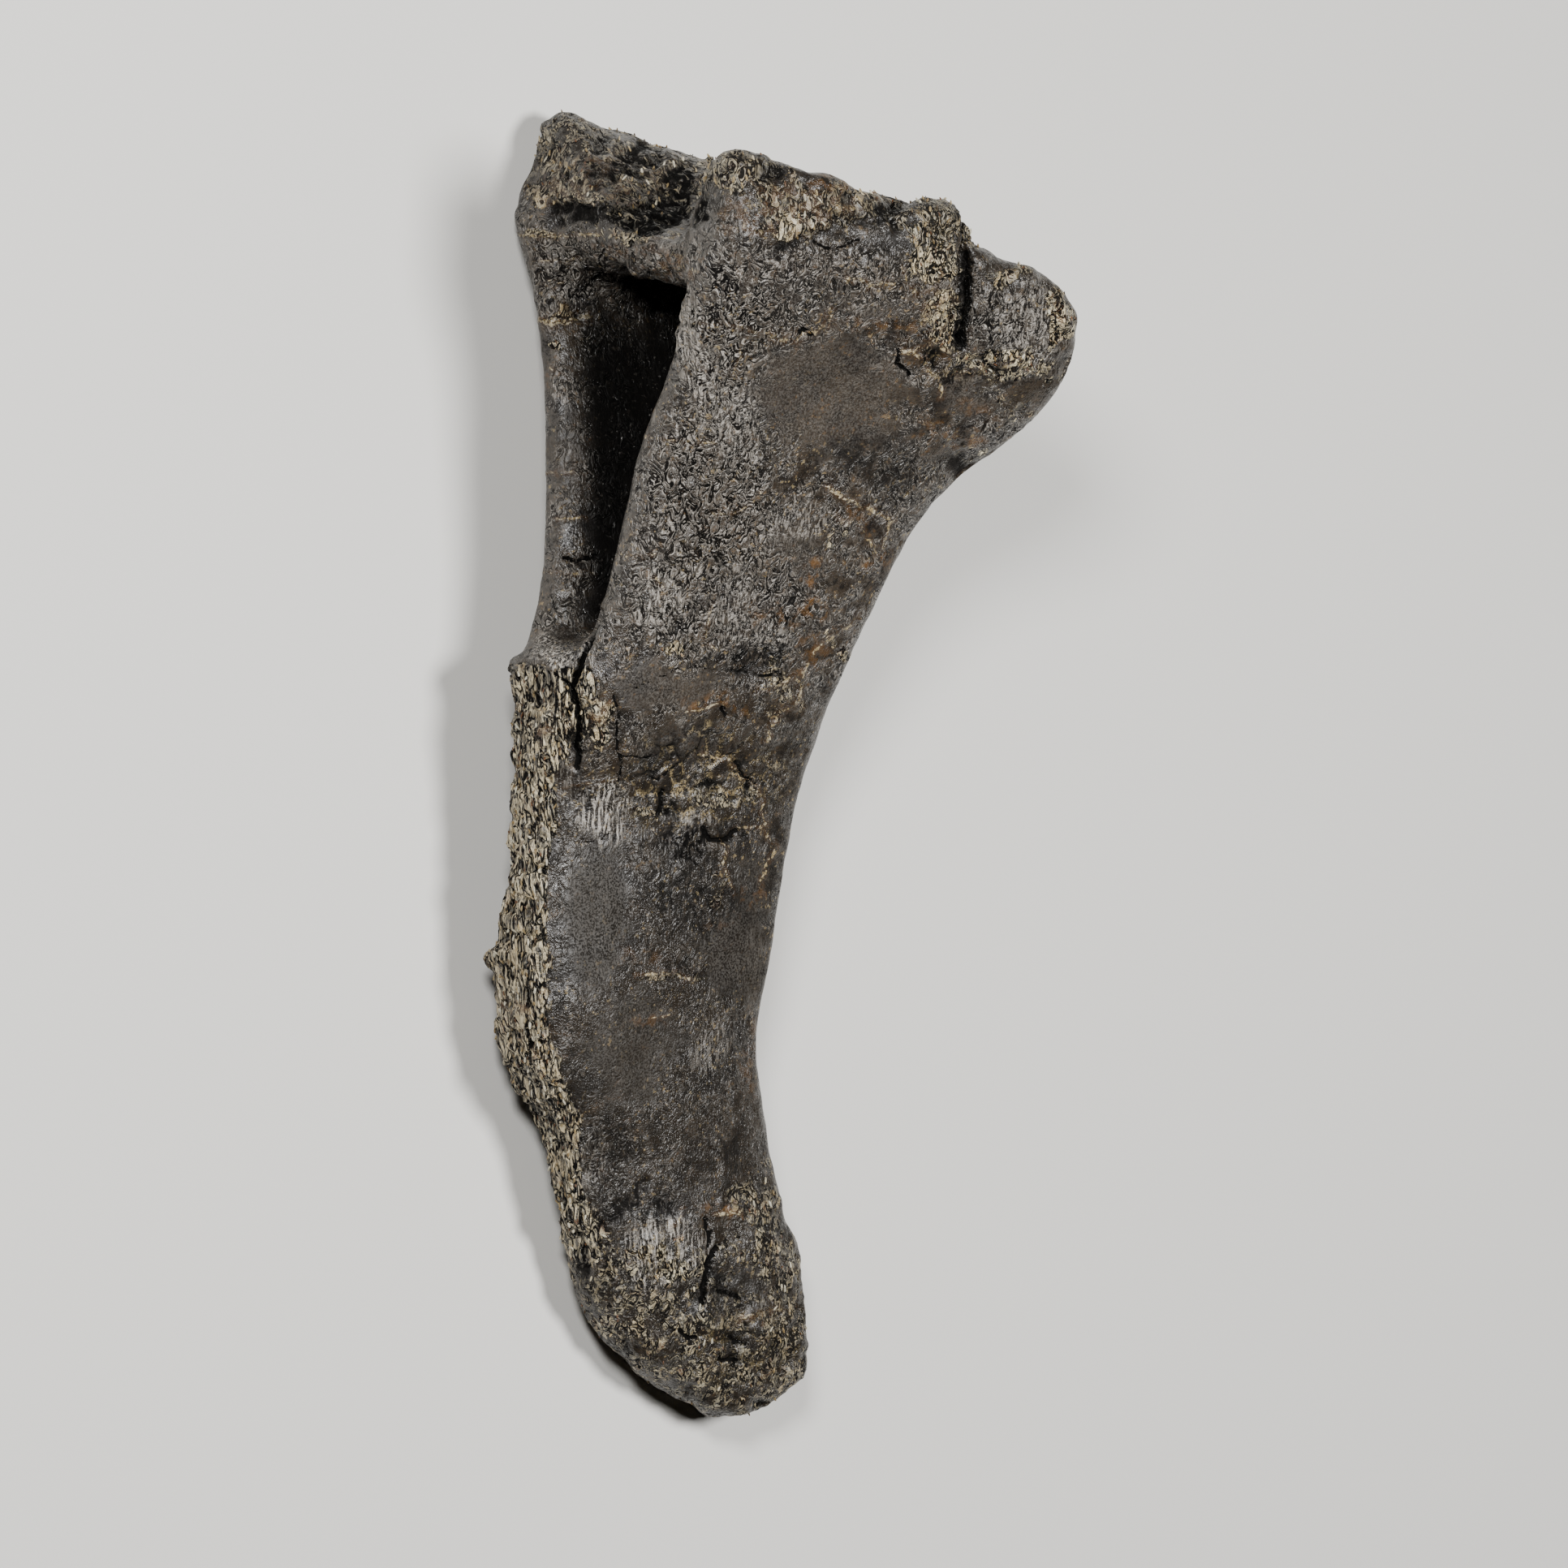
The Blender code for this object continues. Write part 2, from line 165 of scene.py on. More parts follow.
# Where the surface differs, read off the bone: patches as (across, down, half width, half height,
# turn in degrees if any, strength). The right side, which isn't seen, repeats them with other grain.
patches = {
    "wrinkled": [
        (905, 430, 85, 150, 12, 1), (870, 620, 90, 130, 8, 1), (868, 420, 50, 170, 12, 0.9),
        (830, 745, 80, 85, 8, 0.9), (1010, 345, 130, 60, 4, 0.7), (960, 700, 60, 110, 12, 0.8),
        (900, 300, 60, 60, 0.6), (920, 790, 60, 40, 0.8), (1130, 350, 50, 50, 0.6),
        (1120, 590, 40, 60, 40, 0.4), (855, 1320, 60, 60, 0.6), (750, 1430, 45, 80, -10, 0.7),
        (880, 1270, 50, 60, 0.6), (790, 325, 64, 30, 0.9), (700, 330, 60, 60, 0.9), (1245, 385, 66, 66, 1),
        (1230, 520, 70, 30, -35, 0.8), (890, 240, 36, 60, 1), (790, 1560, 70, 70, 0.8),
        (1080, 330, 70, 30, 10, 0.8), (840, 1110, 70, 60, 0.5), (700, 350, 40, 60, 0.5),
        (1140, 275, 26, 24, 0.8),
    ],
    "polished": [
        (1025, 488, 108, 88, -12, 0.9), (1185, 490, 42, 26, -20, 0.8), (735, 1130, 45, 110, -3, 0.8),
        (775, 1290, 62, 80, -8, 0.6), (822, 846, 66, 32, 0.9), (905, 1175, 40, 62, 5, 0.8),
        (905, 1600, 40, 50, 0.3), (700, 560, 22, 90, 0.5), (835, 920, 60, 28, 0.5),
        (985, 680, 40, 50, 20, 0.5), (1060, 380, 60, 18, 0.4), (925, 1110, 28, 60, 5, 0.5),
    ],
    "stained": [
        (1210, 543, 22, 12, -30, 0.8), (1160, 532, 40, 9, -30, 0.6), (998, 706, 13, 20, 1),
        (1000, 748, 18, 10, 1), (962, 762, 36, 12, 15, 0.8), (1080, 690, 26, 12, 30, 0.8),
        (1062, 640, 34, 14, -25, 0.5), (925, 1622, 32, 6, 8, 0.4), (1000, 815, 30, 12, 20, 0.5),
        (880, 868, 50, 7, -8, 0.8), (1205, 505, 30, 12, -25, 0.4), (1085, 402, 60, 9, 0.7),
        (735, 872, 12, 24, 0.7), (792, 1262, 30, 6, 0.4), (925, 1290, 10, 70, 0.3),
        (1000, 800, 16, 30, 20, 0.4), (668, 900, 20, 12, 0.7), (890, 1495, 24, 7, -8, 0.8),
        (632, 1240, 20, 10, 0.7), (885, 1140, 18, 10, 0.3), (930, 1105, 26, 8, 0.5), (800, 1180, 30, 8, 0.3),
        (700, 390, 24, 6, 0.5), (820, 335, 44, 22, 0.8), (770, 312, 50, 12, 0.6), (740, 860, 20, 12, 0.5),
        (985, 250, 120, 40, 14, 0.45), (735, 225, 95, 42, 8, 0.35), (1150, 400, 40, 60, 0.3),
    ],
    # Partly dark patches of the bone, partly painted shade in the recess between the joint heads and under
    # ledges.
    "darkened": [
        (850, 1040, 40, 30, 1), (860, 1110, 62, 60, 0.7), (928, 812, 48, 24, 10, 0.9),
        (795, 1488, 62, 22, 0.9), (745, 1420, 40, 62, -8, 0.5), (1145, 442, 24, 17, 1),
        (1183, 468, 30, 14, 0.9), (1222, 450, 22, 7, 1), (1090, 575, 80, 26, -20, 0.6),
        (800, 262, 70, 26, 4, 1), (720, 262, 50, 12, 0.9), (838, 250, 34, 34, 1), (832, 222, 36, 16, 15, 1),
        (785, 196, 56, 20, 24, 0.9), (900, 1650, 34, 24, 0.25), (905, 1595, 34, 45, 0.4),
        (900, 1430, 22, 22, 0.7), (1070, 272, 50, 7, -20, 0.6), (1035, 300, 42, 6, 12, 0.4),
        (840, 1200, 40, 16, 0.6), (720, 1370, 40, 8, 0.3), (905, 1028, 22, 16, 0.8),
        (770, 205, 60, 26, 15, 0.5), (1104, 262, 14, 12, 0.7), (815, 940, 50, 18, 0.5),
        (1160, 500, 30, 8, 0.3), (990, 296, 70, 12, 14, 0.5), (880, 690, 14, 50, 10, 0.4),
    ],
    # Partly pale mineral film, partly painted glints along ridges and fibres.
    "pale": [
        (745, 1000, 38, 40, 0.9), (698, 968, 16, 40, 0.2), (722, 830, 14, 44, 8, 1),
        (680, 800, 22, 24, 30, 0.9), (820, 1545, 58, 50, 0.9), (655, 1190, 26, 60, 0.3),
        (690, 480, 10, 26, 0.9), (935, 1245, 20, 60, 0.15), (870, 1290, 30, 40, 0.4),
        (812, 735, 32, 46, 0.7), (905, 745, 40, 50, 0.4), (950, 790, 30, 22, 0.6),
        (850, 430, 26, 90, 12, 0.6), (905, 520, 40, 60, 0.5), (860, 1010, 36, 20, 0.5),
        (1270, 400, 44, 60, 0.5), (985, 640, 50, 24, 10, 0.4), (930, 1170, 20, 40, 0.15),
        (720, 1440, 24, 60, -8, 0.4), (800, 470, 12, 60, 10, 0.3),
    ],
    "spongy": [
        (1005, 262, 95, 34, 14, 1), (910, 215, 46, 24, 20, 0.9), (960, 245, 50, 26, 10, 0.8),
        (1150, 300, 36, 60, 0.9), (1160, 395, 30, 50, 0.9), (1235, 450, 60, 24, 0.8),
        (1280, 450, 40, 16, -30, 0.7), (1240, 340, 50, 12, 15, 0.8), (1302, 390, 12, 60, -10, 0.9),
        (1150, 430, 40, 10, 0.6), (1250, 505, 60, 22, -35, 0.5), (885, 975, 50, 26, 0.7),
        (800, 1000, 24, 12, 0.9), (925, 1480, 45, 28, 0.7), (950, 1530, 30, 50, 0.7),
        (955, 1640, 30, 60, 0.7), (770, 1600, 60, 70, 20, 0.6), (870, 1690, 60, 40, 0.6),
        (985, 1490, 20, 24, 0.6), (940, 1440, 26, 16, 0.5), (870, 1200, 36, 24, 0.5),
        (805, 1205, 26, 6, 0.7), (735, 890, 22, 40, 0.8), (1030, 655, 40, 26, 20, 0.4),
        (820, 800, 26, 8, 0.7), (880, 1095, 12, 40, -8, 0.6), (970, 850, 14, 60, 20, 0.5),
        (1040, 800, 40, 12, -35, 0.5), (960, 920, 20, 60, 15, 0.4), (1210, 560, 40, 26, -30, 0.4),
        (715, 1500, 30, 24, 0.7), (730, 290, 100, 10, 0.6), (690, 393, 26, 8, 1), (690, 232, 64, 36, 0.8),
        (795, 255, 80, 36, 5, 0.9), (688, 425, 16, 12, 0.8), (845, 330, 18, 14, 0.5),
        (795, 292, 70, 10, 0.6),
    ],
    "shattered": [(860, 960, 110, 70, 5, 1), (1180, 450, 60, 30, 0.7), (920, 1660, 60, 50, 0.8)],
}


# Knobs and dents of the worn heads and edges, as (across, down, radius, height in mm).
lumps = [
    (896, 196, 34, 2.2), (948, 214, 26, -1.6), (868, 228, 22, 1.2), (1012, 226, 20, 1.2),
    (1046, 246, 16, -1.4), (1142, 258, 30, 3.2), (1168, 268, 20, 2.0), (1098, 256, 20, -1.8),
    (1212, 318, 22, 1.4), (1262, 340, 24, 1.2), (1314, 392, 22, 1.4), (1318, 450, 20, -1.0),
    (690, 158, 26, 1.4), (742, 176, 20, -1.2), (812, 196, 26, 1.6), (640, 268, 16, 1.2),
    (634, 820, 16, 1.4), (640, 866, 20, -1.0), (628, 930, 16, 1.2), (615, 1178, 22, 1.6),
    (628, 1120, 16, -1.0), (1180, 575, 30, -1.2), (700, 1500, 18, 1.4), (712, 1570, 20, -1.0),
    (985, 1660, 24, 1.2), (875, 1735, 24, 1.2), (990, 1692, 24, 2.2), (938, 1738, 22, -1.8),
    (638, 1340, 15, 1.6), (652, 1374, 15, -1.8), (770, 1668, 26, -1.0), (905, 1652, 30, -0.4),
    (880, 1590, 40, -0.8),
]


# Ragged edges stray from a clean shape by so many pixels, in waves so many pixels long.
ragged = {"broad": (16.0, 48.0), "fine": (9.0, 17.0), "line": (4.0, 14.0)}


def strays(across, down, kind, seed):
    reach, wave = ragged[kind]
    return reach * grain(np.column_stack([across, down, np.zeros(len(across))]), wave, seed)


def wander(across, down, seed):
    return strays(across, down, "broad", seed) + strays(across, down, "fine", seed + 1)


def patchMask(kind, across, down):
    mask = np.zeros(len(across))
    torn = 1.3 if kind in ("polished", "darkened") else 1.0
    across, down = across + torn * wander(across, down, 61), down + torn * wander(across, down, 71)
    for x, y, halfWide, halfHigh, *turn, strength in patches[kind]:
        t = math.radians(turn[0] if turn else 0)
        dx, dy = across - x, down - y
        u = (dx * math.cos(t) - dy * math.sin(t)) / halfWide
        v = (dx * math.sin(t) + dy * math.cos(t)) / halfHigh
        mask = np.maximum(mask, strength * (1 - ramp(np.hypot(u, v), 0.55, 1.15)))
    return mask


# Lines on the bone in picture places. Seams are cracks healed with tan sediment or iron-rich crust, as
# (half width in mm, points); gaps are open cracks, as (half width in mm, depth in mm, points).
lines = {
    "widthShare": 0.8,
    "tanSeams": [
        (0.9, [(945, 412), (962, 419), (977, 420), (993, 409), (1008, 408), (1020, 400), (1022, 384)]),
        (0.25, [(1060, 403), (1080, 406), (1101, 399), (1120, 405), (1143, 397), (1160, 392)]),
        (0.7, [(1044, 345), (1062, 346), (1080, 352), (1101, 351)]),
        (0.8, [(1110, 434), (1128, 436), (1140, 447), (1150, 462), (1165, 466), (1178, 456), (1203, 458)]),
        (0.6, [(1203, 458), (1222, 455), (1245, 448), (1268, 452)]),
        (0.6, [(1150, 462), (1158, 478), (1156, 494)]),
        (0.7, [(1018, 600), (1040, 612), (1060, 625), (1082, 634), (1101, 638)]),
        (0.5, [(1058, 645), (1068, 660), (1078, 682)]), (0.4, [(1096, 640), (1092, 660), (1084, 690)]),
        (0.5, [
            (930, 850), (948, 848), (966, 842), (978, 830), (985, 846), (982, 866), (962, 878), (950, 894),
            (944, 914),
        ]),
        (0.5, [(985, 846), (990, 826), (998, 815)]),
        (0.4, [(845, 874), (868, 873), (886, 866), (898, 870)]),
        (0.6, [(860, 931), (880, 934), (898, 935)]),
        (0.5, [(1000, 806), (1020, 790), (1042, 774), (1060, 762)]),
        (0.5, [(888, 1030), (893, 1048), (892, 1070), (902, 1090), (906, 1102)]),
        (0.5, [(958, 1046), (945, 1066), (938, 1090), (934, 1110)]),
        (0.5, [(900, 945), (915, 955), (935, 970), (940, 995), (942, 1020), (952, 1040)]),
        (0.5, [(905, 1020), (925, 1018), (946, 1016)]),
        (0.6, [(785, 1200), (800, 1202), (826, 1200), (850, 1206)]),
        (0.25, [(795, 1256), (810, 1252), (830, 1250)]), (0.7, [(882, 1498), (898, 1494), (912, 1496)]),
        (0.55, [(640, 288), (665, 292), (690, 290), (715, 287), (735, 290)]),
        (0.35, [(760, 292), (780, 288), (820, 294), (842, 290)]),
        (0.3, [(655, 322), (680, 321), (705, 320), (735, 320)]),
        (0.25, [(662, 348), (690, 348), (715, 346)]),
        (1.2, [(668, 394), (682, 396), (695, 398), (708, 392), (724, 390)]),
        (0.4, [(676, 452), (690, 454)]), (0.5, [(676, 582), (692, 583), (718, 583)]),
        (0.4, [(680, 640), (700, 638), (722, 640)]), (0.4, [(672, 706), (700, 706), (738, 706)]),
        (0.4, [(764, 684), (786, 686), (808, 684)]),
        (0.5, [(900, 400), (918, 404), (936, 412), (945, 412)]),
        (0.4, [(912, 430), (908, 448), (905, 466)]), (0.4, [(862, 396), (880, 402), (900, 400)]),
        (0.4, [(794, 540), (820, 542), (850, 545), (878, 546)]),
        (0.4, [(940, 602), (930, 620), (905, 632), (880, 634)]),
        (0.4, [(880, 745), (872, 762), (868, 790), (884, 802)]), (0.5, [(806, 712), (818, 724)]),
        (0.5, [(716, 856), (730, 860), (742, 872), (744, 890)]),
        (0.25, [(690, 970), (705, 968), (740, 964), (765, 962)]),
        (0.5, [(830, 1510), (838, 1500), (842, 1488)]),
        (0.5, [(905, 1628), (922, 1622), (945, 1616), (960, 1612)]),
        (0.4, [(1110, 330), (1118, 345), (1130, 360)]),
    ],
    "openGaps": [
        (1.1, 2.6, [(742, 756), (732, 780), (722, 802), (713, 826), (706, 848), (710, 866)]),
        (0.9, 1.6, [(708, 850), (712, 870), (713, 900), (712, 925), (714, 945)]),
        (0.4, 0.8, [(758, 856), (762, 880), (760, 905), (763, 930), (762, 950), (764, 968)]),
        (0.9, 1.4, [(883, 1536), (876, 1556), (870, 1580), (868, 1604)]),
        (0.5, 0.8, [(693, 688), (712, 690), (735, 686)]),
        (0.15, 0.3, [(783, 850), (805, 838), (830, 826), (855, 822), (880, 826)]),
        (0.5, 0.8, [(898, 1646), (906, 1654), (922, 1656)]), (0.6, 1.0, [(888, 1677), (910, 1677)]),
        (0.25, 0.4, [(766, 930), (790, 933), (812, 931)]), (0.5, 0.8, [(905, 940), (920, 958), (932, 966)]),
        (0.8, 1.2, [(815, 975), (816, 990), (812, 1004)]),
        (0.35, 0.6, [(905, 826), (925, 830), (948, 832), (962, 828)]),
        (0.7, 1.2, [(870, 1020), (876, 1034), (894, 1036), (906, 1024)]),
        (0.15, 0.35, [(680, 1036), (706, 1040), (742, 1036), (752, 1028), (768, 1024)]),
        (0.7, 1.0, [(890, 870), (896, 882)]), (0.3, 0.5, [(800, 955), (812, 962), (822, 950), (840, 940)]),
        (0.6, 0.9, [(888, 1590), (912, 1598)]),
        (0.4, 0.6, [(1003, 300), (1020, 305), (1042, 303), (1060, 296)]),
        (1.9, 5.0, [(1190, 316), (1190, 340), (1188, 372), (1186, 400), (1182, 424)]),
        (0.6, 1.0, [(1108, 432), (1104, 448), (1122, 462)]),
        (0.7, 1.0, [(985, 410), (992, 406), (1000, 411)]), (0.5, 0.8, [(684, 830), (700, 842), (709, 850)]),
        (0.6, 1.0, [(868, 1500), (876, 1520), (874, 1534)]),
        (0.6, 1.0, [(838, 1640), (846, 1650), (858, 1646)]),
        (0.3, 0.5, [(744, 306), (739, 318), (742, 334), (733, 352)]),
    ],
    "armEdge": [
        (1.0, [(775, 700), (762, 740), (750, 770), (738, 800), (728, 826), (722, 850)]),
    ],
    "rightSeams": [
        (0.6, [(940, 430), (980, 440), (1030, 425), (1080, 430), (1130, 445)]),
        (0.6, [(1150, 350), (1140, 390), (1160, 430), (1200, 450), (1250, 440)]),
        (0.5, [(820, 600), (860, 612), (910, 600), (960, 615)]),
        (0.7, [(900, 800), (930, 840), (925, 880), (950, 920)]),
        (0.6, [(720, 900), (770, 915), (830, 905), (880, 925), (930, 915)]),
        (0.5, [(860, 1060), (866, 1100), (880, 1150), (876, 1200)]),
        (0.5, [(700, 1280), (760, 1290), (820, 1280), (880, 1296)]),
        (0.6, [(800, 1420), (850, 1440), (900, 1430)]), (0.5, [(1040, 560), (1080, 600), (1100, 640)]),
    ],
    "rightGaps": [
        (0.8, 1.3, [(900, 1010), (860, 1000), (820, 1012), (780, 1004), (740, 1010)]),
        (0.7, 1.1, [(1000, 330), (1010, 370), (1004, 400)]),
        (0.6, 1.0, [(860, 1560), (880, 1600), (874, 1650)]),
        (0.6, 0.9, [(780, 720), (830, 712), (870, 724)]),
        (0.7, 1.1, [(900, 1500), (930, 1520), (950, 1516)]),
    ],
}


def smoothLine(points, step=4.0):  # picture places every few pixels, with a small wander
    dense = []
    for (x0, y0), (x1, y1) in zip(points, points[1:]):
        n = max(1, int(math.hypot(x1 - x0, y1 - y0) / step))
        dense += [(x0 + (x1 - x0) * i / n, y0 + (y1 - y0) * i / n) for i in range(n)]
    dense.append(points[-1])
    dense = np.array(dense)
    strayed = [strays(dense[:, 0], dense[:, 1], "line", seed) for seed in (5, 9)]
    return dense + np.column_stack(strayed)


# The fine skin: the solid's own shape on a mesh of under a millimetre, then worn, pitted and cracked.
skin = {
    "voxel": 0.85, "softenRounds": 10, "triangles": 190000,
    "wear": 0.4, "wrinkle": 0.42, "spongy": 0.9, "fibre": 0.75, "ledge": 0.9, "shards": 0.6, "pit": 0.7,
    "recess": 1.5, "recessCrags": 1.6, "archCrags": 1.8, "dark": 0.5, "seam": 0.2, "armRidge": 1.3,
}


def meshFrom(obj):
    graph = bpy.context.evaluated_depsgraph_get()
    return bpy.data.meshes.new_from_object(obj.evaluated_get(graph))


def newObject(name, mesh):
    made = bpy.data.objects.new(name, mesh)
    bpy.context.collection.objects.link(made)
    return made


def fineSkin():
    body = bmesh.new()
    body.from_mesh(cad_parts["chevron_bone"].data)
    bmesh.ops.remove_doubles(body, verts=body.verts, dist=1e-6)
    for edge in body.edges:
        edge.smooth = True
    mesh = bpy.data.meshes.new("skin")
    body.to_mesh(mesh)
    body.free()
    skinObject = newObject("skin", mesh)
    smooth = skinObject.modifiers.new("roundFacets", "SMOOTH")
    smooth.factor, smooth.iterations = 0.3, 1
    rounder = skinObject.modifiers.new("rounder", "SUBSURF")
    rounder.levels = rounder.render_levels = 1
    remesh = skinObject.modifiers.new("even", "REMESH")
    remesh.mode, remesh.voxel_size = "VOXEL", skin["voxel"] * mm
    soften = skinObject.modifiers.new("soften", "SMOOTH")
    soften.factor, soften.iterations = 0.5, skin["softenRounds"]
    fine = meshFrom(skinObject)
    bpy.data.objects.remove(skinObject)
    return fine


def ofVertices(mesh, what):
    values = np.empty(len(mesh.vertices) * 3)
    mesh.vertices.foreach_get(what, values)
    return values.reshape(-1, 3)


fine = fineSkin()
lyingPlaces, lyingNormals = ofVertices(fine, "co"), ofVertices(fine, "normal")
count = len(lyingPlaces)
places = toStanding(lyingPlaces)
normals = lyingNormals @ turnDown
print("fine skin:", count, "vertices")


def seenFrom(mirrored):  # which vertices that view sees, with their picture places
    across, down, depth = toPicture(places, mirrored)
    cell = 10
    key = (across // cell).astype(int) * 1000 + (down // cell).astype(int)
    order = np.argsort(depth)
    keys, first = np.unique(key[order], return_index=True)
    nearest = dict(zip(keys.tolist(), depth[order][first].tolist()))
    front = np.array([nearest[k] for k in key.tolist()])
    facing = normals @ viewAxes(mirrored)[0]
    seen = (1 - ramp(depth - front, 9.0, 13.0)) * ramp(facing, -0.05, 0.1)
    return across, down, seen


leftAcross, leftDown, leftSeen = seenFrom(False)
rightAcross, rightDown, rightSeen = seenFrom(True)
rightSeen = rightSeen * (1 - leftSeen)


def patchBoth(kind):
    return np.maximum(
        patchMask(kind, leftAcross, leftDown) * leftSeen,
        patchMask(kind, rightAcross, rightDown) * rightSeen * (0.6 + 0.4 * grain(places, 25.0, 77)),
    )


def lineDistance(kind, across, down, seen):  # mm to the nearest line, its half width and its depth
    spots = np.column_stack([across, down])
    best, wide, deep = np.full(count, 99.0), np.full(count, 0.5), np.zeros(count)
    for line in lines[kind]:
        halfWidth, depth = line[0] * lines["widthShare"], (line[1] if len(line) == 3 else 0.0)
        dense = smoothLine(line[-1])
        low, high = dense.min(0) - 24, dense.max(0) + 24
        near = np.where(((spots > low) & (spots < high)).all(1) & (seen > 0.3))[0]
        if not len(near):
            continue
        spot = spots[near]
        gap = np.full(len(near), 99.0)
        for a, b in zip(dense, dense[1:]):
            along = b - a
            t = np.clip(((spot - a) @ along) / max(along @ along, 1e-9), 0, 1)
            gap = np.minimum(gap, np.linalg.norm(spot - a - t[:, None] * along, axis=1))
        gap = gap / viewpoint["pixelsPerMm"]
        closer = gap < best[near]
        pick = near[closer]
        best[pick], wide[pick], deep[pick] = gap[closer], halfWidth, depth
    return best, wide, deep


def eitherSide(leftKind, rightKind):  # the nearer line of the two sides
    left = lineDistance(leftKind, leftAcross, leftDown, leftSeen)
    right = lineDistance(rightKind, rightAcross, rightDown, rightSeen)
    nearer = right[0] < left[0]
    return [np.where(nearer, b, a) for a, b in zip(left, right)]


# Front edge of the blade (height, x), as the solid has it: in front of it the crest has broken away.
bladeFront = [
    (-4, 22), (10, -2), (20, -13), (31, -21), (41, -26.5), (52, -29), (60, -31), (73, -33), (86, -35),
    (98, -40.5), (108, -46.5), (122, -49.5), (146, -49.5), (182, -45), (200, -43.5), (215, -41.5),
    (226, -42),
]
canalFront = [(226, -32), (244, -24), (287, -17), (328, -11), (352, -13)]

# Where regions of the bone end, in mm: each fades out between its two numbers.
borders = {
    "stripFoot": (38, 56), "stripTop": (222, 229), "stripDepth": (9, 16), "lowerEnd": (44, 62),
    "heads": (352, 360), "lobeFront": (80, 90), "lobeFoot": (294, 306), "canalFoot": (226, 240),
    "canalTop": (305, 348), "canalBack": (60, 90), "canalEdge": (3, 12), "canalRim": (0, 10),
    "roofFoot": (320, 330), "roofBack": (60, 70), "roofSide": (34, 44),
    "archFoot": (312, 322), "archTop": (344, 352), "archSide": (36, 44),
    "recess": (330, 345), "dents": (300, 330), "bladeDarkening": (175, 235), "headTopDarkening": (338, 358),
}
armHalfWidth = 60


def past(border, value):  # 0 before that border, 1 past it
    return ramp(value, *borders[border])


x, y, z = places.T
fromMiddle, headHeight = np.abs(y), z + 0.25 * x - 0.1 * np.abs(y)
frontEdge = np.interp(z, *zip(*bladeFront))
edgeWander = 2.0 * grain(places, 16.0, 31) + 1.2 * grain(places, 5.0, 32)
strip = ramp(-normals[:, 0] + 0.04 * edgeWander, 0.25, 0.6) * past("stripFoot", z)
strip = strip * (1 - past("stripTop", z + edgeWander)) * (1 - past("stripDepth", x - frontEdge))
lowerEnd = 1 - past("lowerEnd", z + 6 * grain(places, 22.0, 41) + 3 * grain(places, 7.0, 42))
headTops = (0.62 + 0.3 * grain(places, 18.0, 43)) * past("heads", headHeight + edgeWander)
headTops = headTops * ramp(normals[:, 2], -0.25, 0.25)
lobe = past("lobeFront", x + edgeWander) * past("lobeFoot", z + edgeWander)
brokenBone = np.maximum.reduce([strip, 0.52 * lowerEnd, headTops, 0.12 * lobe, 0.85 * patchBoth("spongy")])
polished = patchBoth("polished")
brokenBone = np.clip(brokenBone, 0, 1) * (1 - 0.9 * polished)
wrinkled = np.clip(patchBoth("wrinkled") * (1 - polished) * (1 - brokenBone), 0, 1)

# Painted shade: inside the haemal canal and under the roof between the heads the colour is painted near
# black, where shade falls.
inward = -normals[:, 1] * np.sign(y)
zCrag = z + 9 * grain(places, 15.0, 55)
canalShade = past("canalFoot", z) * (1 - past("canalTop", zCrag)) * ramp(inward, 0.2, 0.6)
canalShade = canalShade * (1 - past("canalBack", x)) * past("canalRim", armHalfWidth - fromMiddle)
canalShade = canalShade * past("canalEdge", x - np.interp(z, *zip(*canalFront)))
roofUndersideShade = ramp(-normals[:, 2] - 0.02 * (zCrag - z), 0.3, 0.8) * past("roofFoot", z)
roofUndersideShade = roofUndersideShade * (1 - past("roofSide", fromMiddle)) * (1 - past("roofBack", x))
canalShade = np.maximum(canalShade, 0.5 * roofUndersideShade)
polished = polished * (1 - canalShade)
darkened, pale = patchBoth("darkened"), patchBoth("pale")
stained, shattered = patchBoth("stained"), patchBoth("shattered")
print("surface zones placed")

# Relief in mm, outward positive. The bone's fibres run along it, so its ridges are stretched that way.
relief = skin["wear"] * layered(places, 14.0, 3, 3)
ridges = 1 - np.abs(grain(places * np.array([1.0, 1.0, 0.38]), 3.4, 11)) * 2.4
relief += skin["wrinkle"] * wrinkled * (np.clip(ridges, -0.5, 1) - 0.3 + 0.5 * grain(places, 2.4, 12))
sponge = layered(places, 4.6, 15, 2)
holes, _, _ = cells(places, 4.2, 16)
relief += skin["spongy"] * brokenBone * (sponge - 0.9 * ramp(0.34 - holes, 0.0, 0.16))
fibres = 1 - np.abs(grain(places * np.array([1.0, 1.0, 0.2]), 3.0, 18)) * 2.2
relief += skin["fibre"] * strip * (np.clip(fibres, -0.6, 1) - 0.25)
ledge = grain(np.column_stack([x * 0.2, y * 0.3, z]), 9.0, 21)
relief += skin["ledge"] * strip * (ramp(ledge, -0.05, 0.05) - 0.5)
bent = places + 1.2 * np.column_stack([grain(places, 5.0, seed) for seed in (51, 52, 53)])
nearest, second, number = cells(bent * np.array([1.0, 1.0, 0.8]), 6.0, 24)
gapWidth = 1 - ramp(second - nearest, 0.02, 0.16)
relief += skin["shards"] * shattered * ((number - 0.5) * 1.2 - 1.0 * gapWidth)
pits, _, _ = cells(places, 6.0, 27)
pitted = ramp(grain(places, 20.0, 28), 0.1, 0.5)
relief -= skin["pit"] * pitted * ramp(0.2 - pits, 0.0, 0.12) * (1 - polished)
crags = layered(places * np.array([1.0, 1.0, 0.8]), 7.0, 35, 3)
relief -= darkened * past("recess", z) * (skin["recess"] + skin["recessCrags"] * crags)
arch = skin["archCrags"] * crags * past("archFoot", z)
relief += arch * (1 - past("archTop", z)) * (1 - past("archSide", fromMiddle))
relief -= skin["dark"] * darkened * (1 - past("dents", z))

